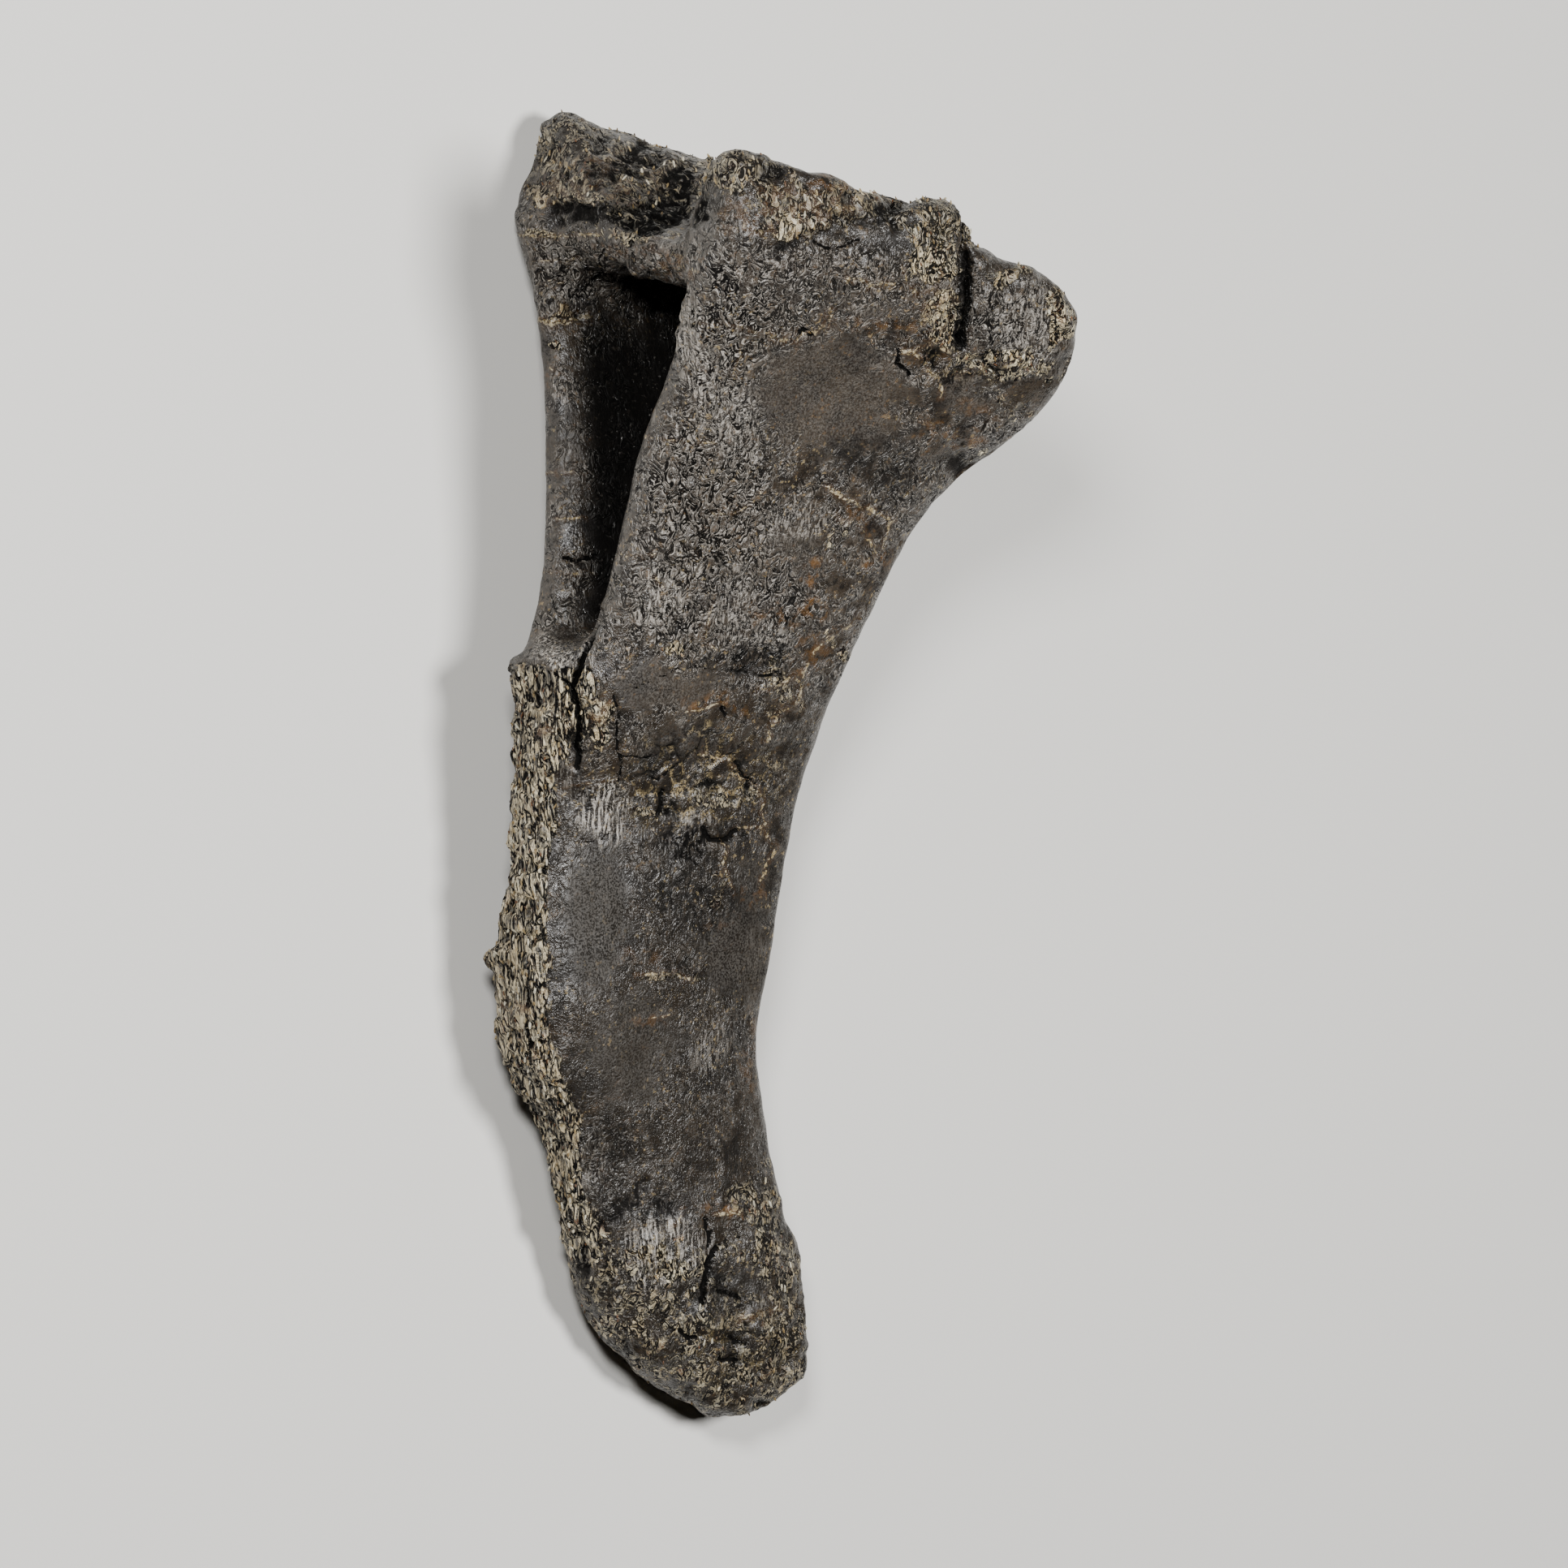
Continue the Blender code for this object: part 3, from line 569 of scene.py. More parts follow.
seamGap, seamWide, _ = eitherSide("tanSeams", "rightSeams")
openGap, openWide, openDeep = eitherSide("openGaps", "rightGaps")
relief -= openDeep * (1 - ramp(openGap, openWide * 0.5, openWide * 1.7))
relief += skin["seam"] * (1 - ramp(seamGap, 0.3, 1.6))
strayed = leftAcross + 0.4 * wander(leftAcross, leftDown, 81)
for across, down, radius, height in lumps:
    reach = np.hypot(strayed - across, leftDown - down) / radius
    relief += height * (1 - ramp(reach, 0.2, 1.1)) * leftSeen
edgeOfArm, _, _ = lineDistance("armEdge", leftAcross, leftDown, leftSeen)
relief += skin["armRidge"] * (1 - ramp(edgeOfArm, 0.5, 5.0))

restFlat = lyingPlaces[:, 2] < 0.4 * mm  # stays flat where the bone lies
relief[restFlat] = np.minimum(relief[restFlat], 0.0)
moved = lyingPlaces + lyingNormals * relief[:, None] * mm
moved[:, 2] = np.maximum(moved[:, 2], 0.0)
fine.vertices.foreach_set("co", moved.ravel())
fine.update()
print("relief cut:", round(float(relief.min()), 2), "to", round(float(relief.max()), 2), "mm")

skinObject = newObject("skin", fine)
thin = skinObject.modifiers.new("thin", "DECIMATE")
fine.calc_loop_triangles()
thin.ratio = min(1.0, skin["triangles"] / len(fine.loop_triangles))
boneMesh = meshFrom(skinObject)
bpy.data.objects.remove(skinObject)

# What each vertex of the thinned skin carries for the finish.
tree = KDTree(count)
for i, place in enumerate(moved):
    tree.insert(place, i)
tree.balance()
source = np.array([tree.find(v.co)[1] for v in boneMesh.vertices])
# Darker towards the lower blade and on the head tops, a little less at the lower end and on pale patches.
bladeDarkening = 0.48 * (1 - past("bladeDarkening", z + 12 * grain(places, 30.0, 91)))
headTopDarkening = 0.56 * past("headTopDarkening", headHeight + 2 * edgeWander)
carried = {
    "broken": brokenBone, "wrinkled": wrinkled, "polished": polished, "darkened": darkened, "pale": pale,
    "stained": stained, "seamGap": np.minimum(seamGap / np.maximum(seamWide, 0.2), 9.0),
    "openGap": np.minimum(openGap / np.maximum(openWide, 0.15), 9.0), "relief": relief, "strip": strip,
    "shardEdge": shattered * gapWidth, "canal": canalShade,
    "soot": bladeDarkening + headTopDarkening - 0.08 * lowerEnd - 0.3 * pale,
}
for name, values in carried.items():
    layer = boneMesh.attributes.new(name, "FLOAT", "POINT")
    layer.data.foreach_set("value", values[source].astype(np.float32))
boneMesh.calc_loop_triangles()
print("bone:", len(boneMesh.loop_triangles), "triangles")


def linear(hexColour):  # sRGB hex to the linear colour that nodes take
    channels = [int(hexColour[i:i + 2], 16) / 255 for i in (1, 3, 5)]
    return [c / 12.92 if c <= 0.04045 else ((c + 0.055) / 1.055) ** 2.4 for c in channels] + [1.0]


def addNode(nodeTree, kind, links=None, output=0, **settings):  # returns the output socket that is asked for
    node = nodeTree.nodes.new(kind)
    for name, value in settings.items():
        setattr(node, name, value)
    for name, value in (links or {}).items():
        if isinstance(value, bpy.types.NodeSocket):
            nodeTree.links.new(value, node.inputs[name])
        else:
            node.inputs[name].default_value = value
    return node.outputs[output] if len(node.outputs) else node


def times(t, share, factors):  # that share times all of those sockets
    for factor in factors:
        share = addNode(t, "ShaderNodeMath", {0: factor, 1: share}, operation="MULTIPLY")
    return share


# Fossil bone: its pores filled with silica and iron, so it is stone-hard and dark umber. Sound cortex is
# dense and glints as if waxed; its wrinkles have painted glints on their rims and painted shade in their
# grooves.
# Broken bone shows its sponge as tan grains.
boneLook = {
    "cortexDark": "#231e1a", "cortexMid": "#362e25", "cortexLight": "#483f34", "filmAndGlint": "#b2aba1",
    # The near black is painted shade in grooves, gaps, pits and hollows, and the bone's own colour in dark
    # specks and scratches; film, chalk and cream are partly painted glints.
    "blackSpeckAndShade": "#060504", "soot": "#15110b", "iron": "#62431d", "seam": "#93825f", "chalkAndGlint": "#d3ccb8",
    "creamAndGlint": "#d6c6a2",
    "grains": [
        (0.0, "#0c0907"), (0.24, "#2b2014"), (0.34, "#74451a"), (0.42, "#513f26"), (0.54, "#4c4232"),
        (0.64, "#8a7043"), (0.78, "#bda677"), (0.95, "#ebe3ca"),
    ],
    "roughness": (0.25, 0.38), "roughBroken": 0.42, "roughPolished": 0.6, "roughHollow": 0.85,
    "index": 1.54, "gloss": (0.03, 0.55),
    "patterns": {  # size in mm, detail, twist, stretch across and along the bone
        "dust": (0.6, 2, 0, 1, 1), "speck": (1.6, 2, 0, 1, 1), "rag": (1.4, 3, 0, 1, 1),
        "mottle": (5, 4, 0, 1, 1), "clump": (9, 3, 0, 1, 1), "cloud": (16, 4, 0, 1, 1),
        "blotch": (3, 3, 0, 1, 1), "region": (20, 2, 0, 1, 1), "wave": (3.4, 3, 1.1, 1, 0.7),
        "curl": (2.6, 2.5, 1.2, 1, 0.6), "thread": (1.9, 2.5, 0.6, 1, 0.22), "hair": (0.8, 2, 0, 1, 0.1),
        "score": (0.8, 2, 0, 0.12, 1),
    },
    "grainMm": 2.4, "grainStretch": 0.6, "jogMm": 4.0,
}


def grainTones(t, tone):  # the tones of the grains, from black through rust and umber to pale
    tones = addNode(t, "ShaderNodeValToRGB", {"Fac": tone})
    stops = tones.node.color_ramp.elements
    for place, hexColour in boneLook["grains"]:
        stop = stops.new(place) if place else stops[0]
        stop.color = linear(hexColour)
    stops.remove(stops[-1])
    return tones


def newMaterial(name):  # and its node tree, still empty
    material = bpy.data.materials.new(name)
    material.use_nodes = True
    material.node_tree.nodes.clear()
    return material, material.node_tree


def boneMaterial():
    look = boneLook
    material, t = newMaterial("permineralisedBone")
    places = addNode(t, "ShaderNodeTexCoord", output="Object")

    # What the colour depends on, by name: zones of the bone, then patterns, then masks made from both.
    field = {name: addNode(t, "ShaderNodeAttribute", output="Fac", attribute_name=name) for name in carried}
    for name, (size, detail, twist, across, along) in look["patterns"].items():
        drawn = addNode(t, "ShaderNodeMapping", {"Vector": places, "Scale": (across, along, 1)})
        field[name] = addNode(t, "ShaderNodeTexNoise", {
            "Vector": drawn, "Scale": 1 / (size * mm), "Detail": detail, "Roughness": 0.55,
            "Distortion": twist,
        }, "Fac")

    # Worm-like ridges run between the lines where a pattern crosses its middle. On the broken crest they are
    # drawn out into fibres.
    field["grain"] = addNode(t, "ShaderNodeMix", {
        0: field["strip"], 2: field["curl"], 3: field["thread"],
    }, data_type="FLOAT")
    for name in ("wave", "grain"):
        centred = addNode(t, "ShaderNodeMath", {0: field[name], 1: 0.5}, operation="SUBTRACT")
        field[name + "Line"] = addNode(t, "ShaderNodeMath", {0: centred}, operation="ABSOLUTE")

    # Grains of the broken bone: ragged cells, each of its own tone.
    jog = addNode(t, "ShaderNodeVectorMath", {
        0: field["rag"].node.outputs["Color"], 1: (look["jogMm"] * mm,) * 3,
    }, operation="MULTIPLY")
    jogged = addNode(t, "ShaderNodeVectorMath", {0: places, 1: jog}, operation="ADD")
    drawn = addNode(t, "ShaderNodeMapping", {"Vector": jogged, "Scale": (1, look["grainStretch"], 1)})
    perMetre = 1 / (look["grainMm"] * mm)
    cell = addNode(t, "ShaderNodeTexVoronoi", {"Vector": drawn, "Scale": perMetre}, "Color")
    tone = addNode(t, "ShaderNodeSeparateColor", {"Color": cell})
    tint = addNode(t, "ShaderNodeMath", {0: tone, 1: 0.85}, operation="MULTIPLY")
    tint = addNode(t, "ShaderNodeMath", {0: field["mottle"], 1: 0.18, 2: tint}, operation="MULTIPLY_ADD")
    grains = grainTones(t, tint)

    # Broken bone gives way to cortex grain by grain, and cracks have ragged edges.
    for name, source, factor, onto in (
        ("torn", tone.node.outputs[1], 0.45, "broken"), ("torn", field["mottle"], 1.1, "torn"),
        ("seamEdge", field["rag"], 4.5, "seamGap"), ("gapEdge", field["rag"], 4.5, "openGap"),
    ):
        field[name] = addNode(t, "ShaderNodeMath", {
            0: source, 1: factor, 2: field[onto],
        }, operation="MULTIPLY_ADD")

    # Each mask blends over a range of its source, from 0 to 1 or between the two last numbers.
    for name, source, low, high, *ends in (
        ("groove", "waveLine", 0.006, 0.036, 1, 0), ("crest", "waveLine", 0.02, 0.1),
        ("rimIn", "waveLine", 0.035, 0.055), ("rimOut", "waveLine", 0.065, 0.1, 1, 0),
        ("grainRimIn", "grainLine", 0.06, 0.09), ("grainRimOut", "grainLine", 0.1, 0.15, 1, 0),
        ("grainBody", "grainLine", 0.01, 0.075), ("grainGap", "grainLine", 0.018, 0.08, 1, 0),
        ("grainPit", "grain", 0.52, 0.58), ("curlDark", "curl", 0.46, 0.56, 1, 0.2),
        ("dustLight", "dust", 0.42, 0.6), ("dustDark", "dust", 0.35, 0.65),
        ("speckLight", "speck", 0.58, 0.64), ("speckLow", "speck", 0.3, 0.38, 1, 0),
        ("speckRust", "speck", 0.36, 0.42, 1, 0), ("speckHalf", "speck", 0.42, 0.6),
        ("speckRare", "speck", 0.62, 0.66, 0.98, 0.25), ("mottleHigh", "mottle", 0.42, 0.66),
        ("mottleTop", "mottle", 0.5, 0.6), ("chalky", "mottle", 0.45, 0.55),
        ("plain", "mottle", 0.45, 0.55, 1, 0), ("murky", "clump", 0.4, 0.55, 0.65, 0),
        ("cloudHigh", "cloud", 0.38, 0.62), ("clumpHigh", "clump", 0.42, 0.6, 0, 0.65),
        ("blotchHigh", "blotch", 0.45, 0.6, 0, 0.75), ("regionHigh", "region", 0.42, 0.58),
        ("hairHigh", "hair", 0.5, 0.58), ("hairLow", "hair", 0.42, 0.49, 1, 0),
        ("scoreHigh", "score", 0.5, 0.66), ("unpolished", "polished", 0, 1, 1, 0.15),
        ("halfPolished", "polished", 0, 1, 1, 0.4), ("halo", "seamGap", 0.8, 4, 0.22, 0),
        ("sunkShade", "relief", -1.3, -0.45, 0.85, 0), ("calm", "soot", 0, 0.5, 1, 0.4),
        ("cortexOnly", "strip", 0, 1, 1, 0.2), ("fibrous", "pale", 0, 1, 0.3, 1),
        ("brokenShare", "torn", 1.2, 1.36), ("seam", "seamEdge", 2.7, 3.15, 1, 0),
        ("gap", "gapEdge", 3, 3.6, 1, 0), ("seamShow", "mottle", 0.36, 0.48),
        ("seamGrain", "dust", 0.35, 0.5, 0.35, 1),
    ):
        toLow, toHigh = ends or (0, 1)
        field[name] = addNode(t, "ShaderNodeMapRange", {
            "Value": field[source], "From Min": low, "From Max": high, "To Min": toLow, "To Max": toHigh,
        }, interpolation_type="SMOOTHSTEP")
    wrinkled = addNode(t, "ShaderNodeMath", {
        0: field["wrinkled"], 1: field["clumpHigh"],
    }, operation="MAXIMUM")
    field["wrinkled"] = times(t, wrinkled, [field["calm"], field["unpolished"]])

    # Colour layers, each over the last: where (all of them times), how strong, and what colour.
    # On wrinkled cortex the crests and rims are painted pale as glints and the grooves black as painted
    # shade; bright hairs on pale patches are painted glints.
    cortexLayers = [
        ("cloudHigh", 1, "cortexMid"), ("mottleHigh halfPolished", 0.8, "cortexLight"),
        ("dustDark", 0.4, "blackSpeckAndShade"), ("scoreHigh", 0.35, "blackSpeckAndShade"),
        ("crest dustLight wrinkled", 0.14, "filmAndGlint"), ("rimIn rimOut wrinkled", 0.66, "filmAndGlint"),
        ("groove wrinkled", 1, "blackSpeckAndShade"), ("speckLight unpolished", 0.65, "blackSpeckAndShade"),
        ("speckRust mottleTop", 0.35, "iron"), ("hairLow pale", 0.4, "blackSpeckAndShade"),
        ("hairHigh pale", 0.95, "filmAndGlint"),
    ]
    # On broken bone the grain rims and bodies are painted pale as glints, and the pits and gaps between
    # grains black as painted shade.
    grainLayers = [
        ("grainPit", 0.9, "blackSpeckAndShade"), ("dustLight grainBody", 0.25, "chalkAndGlint"),
        ("grainRimIn grainRimOut", 0.8, "creamAndGlint"), ("murky", 0.75, "soot"),
        ("hairLow strip", 0.6, "blackSpeckAndShade"), ("hairHigh strip", 0.45, "creamAndGlint"), ("grainGap", 1, "blackSpeckAndShade"),
    ]
    surfaceLayers = [
        ("soot cortexOnly", 1, "soot"), ("polished soot", 1.5, "soot"),
        ("polished dustLight", 0.12, "filmAndGlint"), ("polished hairLow", 0.35, "blackSpeckAndShade"),
        ("stained blotchHigh", 1, "iron"), ("speckLow regionHigh unpolished", 0.6, "seam"),
        ("halo speckHalf", 1, "iron"), ("seam seamShow seamGrain", 1, "seam"),
        # Seam beads are partly pale with painted glints; the gaps between shards are painted black as shade.
        ("seam seamShow speckHalf", 0.35, "chalkAndGlint"), ("shardEdge chalky", 0.9, "blackSpeckAndShade"),
        # Over the dark patches the black is partly the bone's own dark colour, partly painted shade in the
        # head recess.
        ("shardEdge plain dustLight", 1, "seam"), ("darkened curlDark", 1, "blackSpeckAndShade"),
        # Painted shade: black in hollows sunk below the surface, in the canal (speckled where glints show
        # through) and in open cracks.
        ("sunkShade", 1, "blackSpeckAndShade"), ("canal speckRare", 1, "blackSpeckAndShade"), ("gap", 1, "blackSpeckAndShade"),
    ]
    cortex = addNode(t, "ShaderNodeRGB")
    cortex.default_value = linear(look["cortexDark"])

    def share(names, strength):
        return times(t, strength, [field[name] for name in names.split()])

    def painted(colour, layers):
        for where, strength, paint in layers:
            colour = addNode(t, "ShaderNodeMix", {
                0: share(where, strength), 6: colour, 7: linear(look[paint]),
            }, 2, data_type="RGBA")
        return colour

    surface = addNode(t, "ShaderNodeMix", {
        0: field["brokenShare"], 6: painted(cortex, cortexLayers), 7: painted(grains, grainLayers),
    }, 2, data_type="RGBA")
    surface = painted(surface, surfaceLayers)

    # Gloss: waxy cortex, duller where worn flat, broken or hollow. Black crevices don't glint.
    bright = addNode(t, "ShaderNodeRGBToBW", {"Color": surface})
    dark = addNode(t, "ShaderNodeMapRange", {"Value": bright, "From Max": 0.012, "To Min": 1, "To Max": 0})
    low, high = look["gloss"]
    gloss = addNode(t, "ShaderNodeMapRange", {
        "Value": bright, "From Max": 0.018, "To Min": low, "To Max": high,
    })
    gloss = addNode(t, "ShaderNodeMath", {0: gloss, 1: field["halfPolished"]}, operation="MULTIPLY")
    low, high = look["roughness"]
    rough = addNode(t, "ShaderNodeMapRange", {
        "Value": field["mottle"], "From Min": 0.35, "From Max": 0.65, "To Min": low, "To Max": high,
    })
    for much, value in (
        (field["brokenShare"], look["roughBroken"]), (field["polished"], look["roughPolished"]),
        (dark, look["roughHollow"]),
    ):
        rough = addNode(t, "ShaderNodeMix", {0: much, 2: rough, 3: value}, data_type="FLOAT")

    # Height in mm of what is too fine for the mesh.
    height = 0.0
    for where, tall in (
        ("crest wrinkled", 0.6), ("groove wrinkled", -0.6), ("grainBody brokenShare", 0.6),
        ("dustDark unpolished", 0.06), ("hairHigh fibrous unpolished", 0.12), ("gap", -0.5),
    ):
        height = addNode(t, "ShaderNodeMath", {0: height, 1: share(where, tall)}, operation="ADD")
    bump = addNode(t, "ShaderNodeBump", {"Distance": mm, "Height": height})
    shader = addNode(t, "ShaderNodeBsdfPrincipled", {
        "Base Color": surface, "Roughness": rough, "Normal": bump, "IOR": look["index"],
        "Specular IOR Level": gloss,
    })
    addNode(t, "ShaderNodeOutputMaterial", {"Surface": shader})
    return material


fossilBone = newObject("fossilBone", boneMesh)
boneMesh.materials.clear()
boneMesh.materials.append(boneMaterial())
boneMesh.shade_smooth()
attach(fossilBone, "root")
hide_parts("chevron_bone")
print("bone finished")


def newGroup(name, inputs):  # an empty Geometry Nodes group with those inputs and a material
    group = bpy.data.node_groups.new(name, "GeometryNodeTree")
    group.is_modifier = True
    group.interface.new_socket("Geometry", in_out="INPUT", socket_type="NodeSocketGeometry")
    group.interface.new_socket("Geometry", in_out="OUTPUT", socket_type="NodeSocketGeometry")
    group.interface.new_socket("Material", in_out="INPUT", socket_type="NodeSocketMaterial")
    for socketName, value in inputs.items():
        kind = "NodeSocketInt" if isinstance(value, int) else "NodeSocketFloat"
        group.interface.new_socket(socketName, in_out="INPUT", socket_type=kind)
    return group


def grownOn(name, mesh, group, inputs):  # that mesh run through the node group, kept as its own piece
    inputs = {**inputs, "Material": sandyMatrix}
    carrier = newObject(name, mesh)
    modifier = carrier.modifiers.new(name, "NODES")
    modifier.node_group = group
    for item in group.interface.items_tree:
        if item.in_out == "INPUT" and item.name in inputs:
            modifier[item.identifier] = inputs[item.name]
    carrier.data = meshFrom(carrier)
    carrier.modifiers.clear()
    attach(carrier, "root")
    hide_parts("chevron_bone")
    carrier.data.calc_loop_triangles()
    print(name + ":", len(carrier.data.loop_triangles), "triangles")


def scatterGrains(group, given, points, turn, look, shares=()):  # uneven grains, each of its own tone
    tone = addNode(group, "FunctionNodeRandomValue", {
        3: look["brightest"], "Seed": given["Seed"],
    }, 1, data_type="FLOAT")
    toned = addNode(group, "GeometryNodeStoreNamedAttribute", {
        "Geometry": points, "Name": "tone", "Value": tone,
    }, data_type="FLOAT", domain="POINT")
    grain = addNode(group, "GeometryNodeMeshIcoSphere", {"Radius": mm, "Subdivisions": 1})
    size = addNode(group, "FunctionNodeRandomValue", {
        2: given["Smallest"], 3: given["Largest"], "Seed": given["Seed"],
    }, 1, data_type="FLOAT")
    size = times(group, size, shares)
    even = addNode(group, "ShaderNodeCombineXYZ", {0: size, 1: size, 2: size})
    oval = addNode(group, "ShaderNodeVectorMath", {0: even, 1: look["shape"]}, operation="MULTIPLY")
    placed = addNode(group, "GeometryNodeInstanceOnPoints", {
        "Points": toned, "Instance": grain, "Rotation": turn, "Scale": oval,
    })
    real = addNode(group, "GeometryNodeRealizeInstances", {"Geometry": placed})
    finished = addNode(group, "GeometryNodeSetMaterial", {"Geometry": real, "Material": given["Material"]})
    addNode(group, "NodeGroupOutput", {"Geometry": finished})


def sedimentMaterial():  # sandy matrix: dry quartz and clay, nearly matt, each grain a tone of its own
    material, t = newMaterial("sandyMatrix")
    tone = addNode(t, "ShaderNodeAttribute", output="Fac", attribute_name="tone")
    grains = grainTones(t, tone)
    places = addNode(t, "ShaderNodeTexCoord", output="Object")
    dust = addNode(t, "ShaderNodeTexNoise", {"Vector": places, "Scale": 4 / mm, "Detail": 2}, "Fac")
    soot = linear(boneLook["soot"])
    dusty = addNode(t, "ShaderNodeMix", {0: dust, 6: grains, 7: soot}, 2, data_type="RGBA")
    bump = addNode(t, "ShaderNodeBump", {"Strength": 0.6, "Distance": 0.1 * mm, "Height": dust})
    shader = addNode(t, "ShaderNodeBsdfPrincipled", {"Base Color": dusty, "Roughness": 0.5, "Normal": bump})
    addNode(t, "ShaderNodeOutputMaterial", {"Surface": shader})
    return material


# Splinters of bone fibre and grains of sediment that stand out of the broken bone, lying along it. Density
# is grains in a square metre, and sizes are half widths in mm.
crumbs = {
    "inputs": {"Density": 120000.0, "Smallest": 0.22, "Largest": 0.52, "Tilt": 0.6, "Seed": 7},
    "shape": (1.0, 2.6, 0.7), "brightest": 1.0,
}


def crumbTree():
    group = newGroup("scatteredCrumbs", crumbs["inputs"])
    given = addNode(group, "NodeGroupInput").node.outputs
    broken, gap, dark = (
        addNode(group, "GeometryNodeInputNamedAttribute", {"Name": name}, data_type="FLOAT")
        for name in ("broken", "openGap", "darkened")
    )
    density = addNode(group, "ShaderNodeMapRange", {"Value": broken, "From Min": 0.45, "From Max": 0.9})
    clear = addNode(group, "ShaderNodeMath", {0: gap, 1: 1.8}, operation="GREATER_THAN")
    bright = addNode(group, "ShaderNodeMapRange", {
        "Value": dark, "From Min": 0.2, "To Min": 1.0, "To Max": 0.35,
    })
    density = times(group, density, (clear, bright, given["Density"]))
    points = addNode(group, "GeometryNodeDistributePointsOnFaces", {
        "Mesh": given["Geometry"], "Density": density, "Seed": given["Seed"],
    })
    tilt = addNode(group, "ShaderNodeCombineXYZ", {0: given["Tilt"], 1: 3.1, 2: given["Tilt"]})
    back = addNode(group, "ShaderNodeVectorMath", {0: tilt, 1: (-1.0, -1.0, -1.0)}, operation="MULTIPLY")
    turn = addNode(group, "FunctionNodeRandomValue", {
        0: back, 1: tilt, "Seed": given["Seed"],
    }, data_type="FLOAT_VECTOR")
    scatterGrains(group, given, points, turn, crumbs)
    return group


sandyMatrix = sedimentMaterial()
grownOn("boneCrumbs", boneMesh, crumbTree(), crumbs["inputs"])


# Sediment that filled the cracks stands a little proud as beads, along paths found by rays onto the bone.
veins = {
    "inputs": {
        "Step": 0.3 * mm, "Grain Share": 0.42, "Stray": 2.2 * mm, "Smallest": 0.3, "Largest": 0.8,
        "Seed": 11,
    },
    "shape": (1.0, 1.7, 0.8), "brightest": 0.68,
}


def veinPaths():
    faces = [tuple(face.vertices) for face in boneMesh.polygons]
    surface = BVHTree.FromPolygons([corner.co for corner in boneMesh.vertices], faces)
    corners, edges, halfWidths = [], [], []
    for kind, mirrored in (("tanSeams", False), ("rightSeams", True)):
        back, right, up, target = viewAxes(mirrored)
        eye = target + viewpoint["distance"] * back
        for halfWidth, points in lines[kind]:
            before = None
            for across, down in smoothLine(points, 3.0):
                aim = (across - half) * right - (down - half) * up
                aim = turnDown @ (aim - focal * back)
                hit = surface.ray_cast(Vector(toLying(eye)), Vector(aim).normalized())[0]
                if hit is None:
                    before = None
                    continue
                corners.append(hit)
                halfWidths.append(halfWidth)
                if before is not None and (hit - corners[before]).length < 4 * mm:
                    edges.append((before, len(corners) - 1))
                before = len(corners) - 1
    mesh = bpy.data.meshes.new("veinPaths")
    mesh.from_pydata(corners, edges, [])
    layer = mesh.attributes.new("halfWidth", "FLOAT", "POINT")
    layer.data.foreach_set("value", halfWidths)
    return mesh


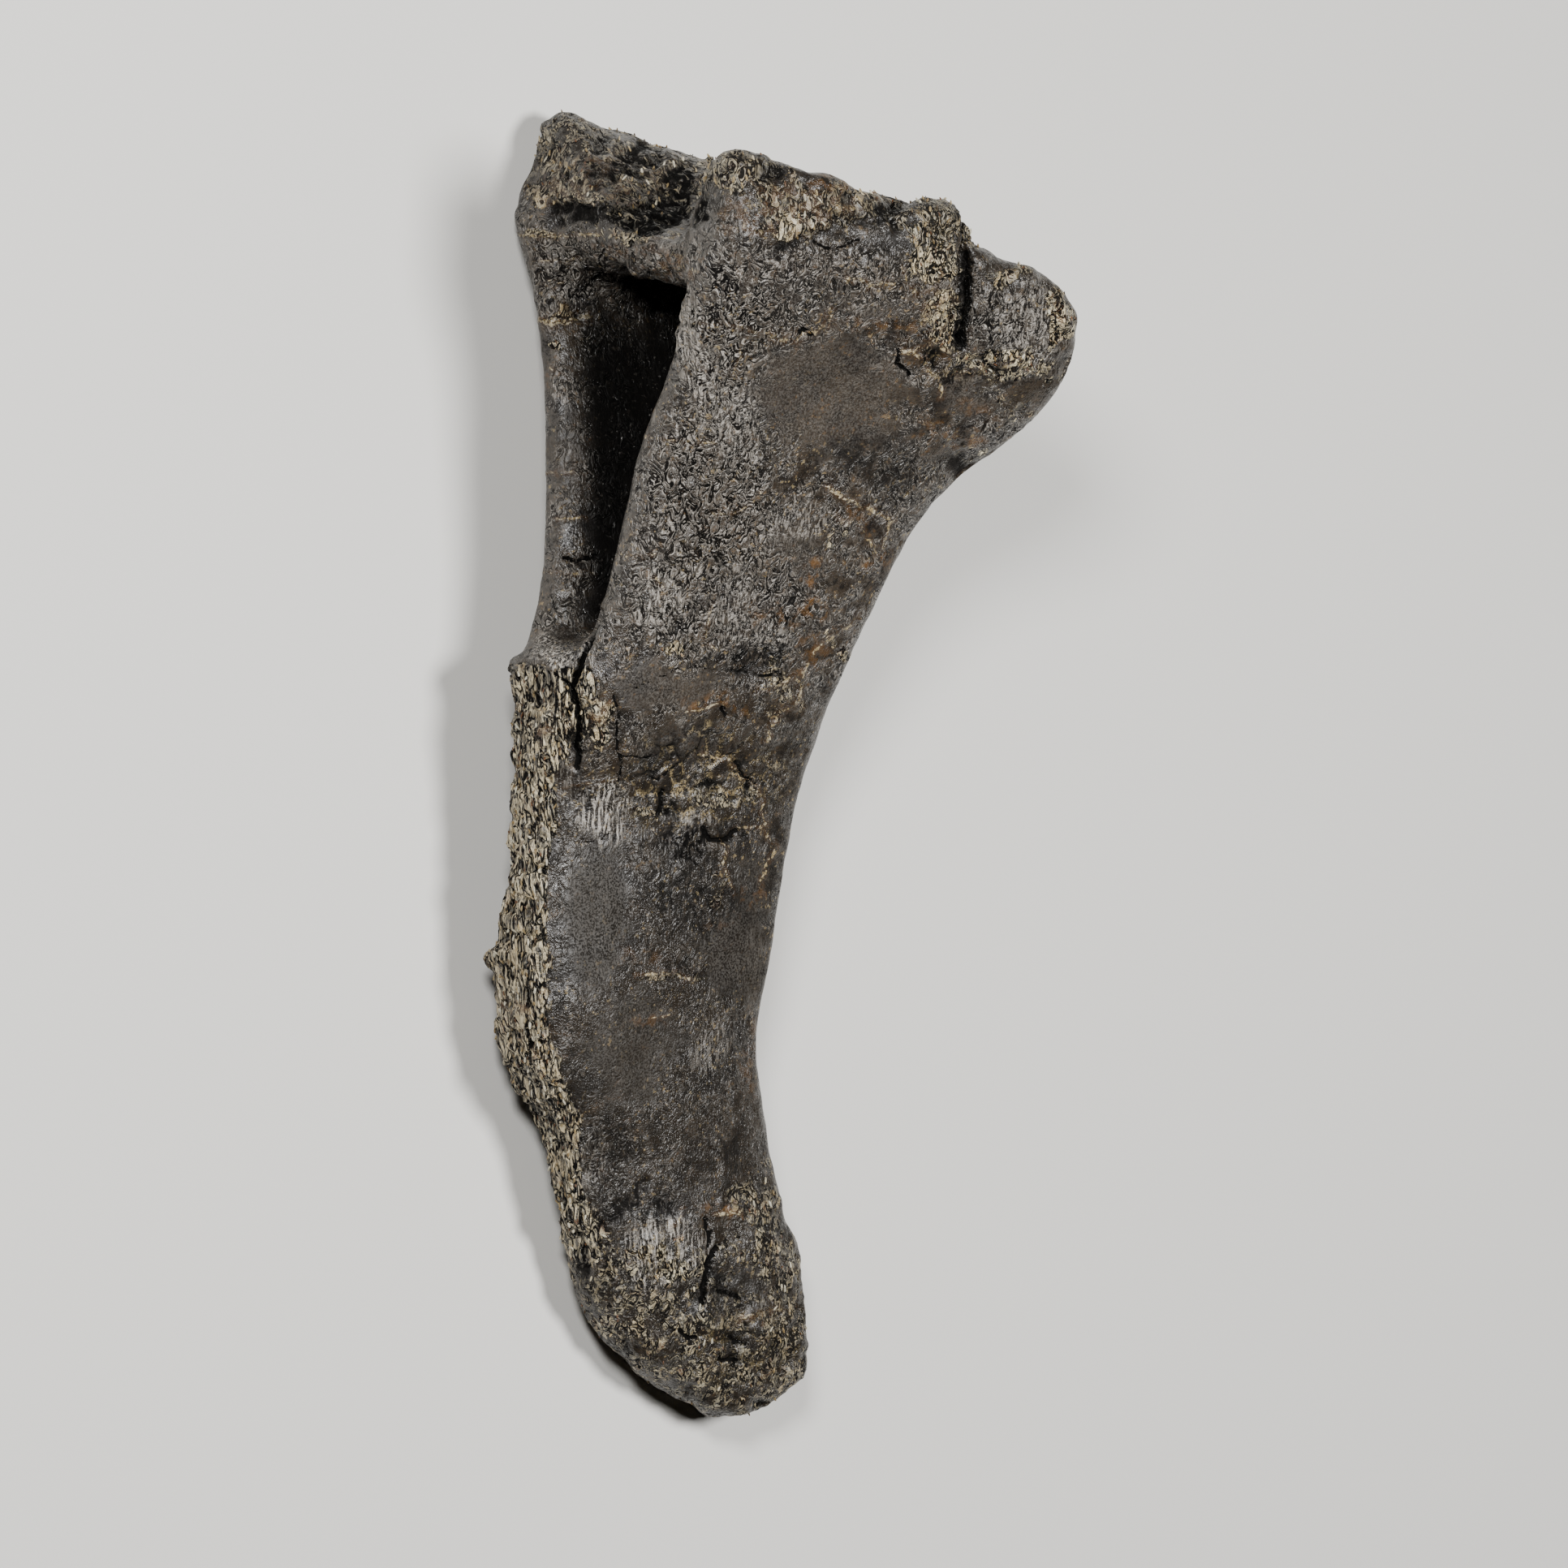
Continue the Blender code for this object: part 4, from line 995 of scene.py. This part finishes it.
def veinTree():
    group = newGroup("beadedVeins", veins["inputs"])
    given = addNode(group, "NodeGroupInput").node.outputs
    curve = addNode(group, "GeometryNodeMeshToCurve", {"Mesh": given["Geometry"]})
    points = addNode(group, "GeometryNodeCurveToPoints", {
        "Curve": curve, "Length": given["Step"],
    }, mode="LENGTH")
    place = addNode(group, "GeometryNodeInputPosition")
    wavy = addNode(group, "ShaderNodeTexNoise", {"Vector": place, "Scale": 900.0, "Detail": 3.0}, "Color")
    centred = addNode(group, "ShaderNodeVectorMath", {0: wavy, 1: (0.5, 0.5, 0.5)}, operation="SUBTRACT")
    offset = addNode(group, "ShaderNodeVectorMath", {0: centred, "Scale": given["Stray"]}, operation="SCALE")
    strayed = addNode(group, "GeometryNodeSetPosition", {"Geometry": points, "Offset": offset})
    patchy = addNode(group, "ShaderNodeTexNoise", {"Vector": place, "Scale": 190.0, "Detail": 2.0}, "Fac")
    show = addNode(group, "ShaderNodeMapRange", {"Value": patchy, "From Min": 0.36, "From Max": 0.55})
    halfWidth = addNode(group, "GeometryNodeInputNamedAttribute", {"Name": "halfWidth"}, data_type="FLOAT")
    turn = addNode(group, "FunctionNodeRandomValue", {
        1: (6.28, 6.28, 6.28), "Seed": given["Seed"],
    }, data_type="FLOAT_VECTOR")
    scatterGrains(group, given, strayed, turn, veins, (halfWidth, given["Grain Share"], show))
    return group


grownOn("healedCracks", veinPaths(), veinTree(), veins["inputs"])


# A plain pale floor and soft light: a large key from the bone's front left and above, and a weak fill.
studio = {
    "floorSize": 8.0, "floorColour": "#d9d7d2",
    "lamps": [  # name, watts, width, where from (across, up and towards the viewer), how far
        ("keyLight", 27.0, 0.35, (-0.05, 0.3, 0.9), 1.6), ("fillLight", 50.0, 0.5, (0.75, 0.1, 0.65), 1.9),
    ],
    "lampsFace": (20.0, 0.0, 190.0),
}


def addLight(name, watts, size, direction, distance):
    back, right, up, target = viewAxes()
    facing = direction[0] * right + direction[1] * up + direction[2] * back
    facing = turnDown @ facing / np.linalg.norm(facing)
    middle = Vector(toLying(np.array(studio["lampsFace"])))
    lamp = bpy.data.objects.new(name, bpy.data.lights.new(name, "AREA"))
    bpy.context.collection.objects.link(lamp)
    lamp.data.energy, lamp.data.shape, lamp.data.size = watts, "DISK", size
    lamp.location = middle + Vector(facing) * distance
    lamp.rotation_euler = (lamp.location - middle).to_track_quat("Z", "Y").to_euler()


for lamp in studio["lamps"]:
    addLight(*lamp)

floorBody = bmesh.new()
bmesh.ops.create_grid(floorBody, x_segments=1, y_segments=1, size=studio["floorSize"] / 2)
floorMesh = bpy.data.meshes.new("floor")
floorBody.to_mesh(floorMesh)
floorBody.free()
floor = newObject("floor", floorMesh)
floorPaint = bpy.data.materials.new("mattPaper")
floorPaint.use_nodes = True
floorShader = floorPaint.node_tree.nodes["Principled BSDF"]
floorShader.inputs["Base Color"].default_value = linear(studio["floorColour"])
floorShader.inputs["Roughness"].default_value = 0.9
floorMesh.materials.append(floorPaint)
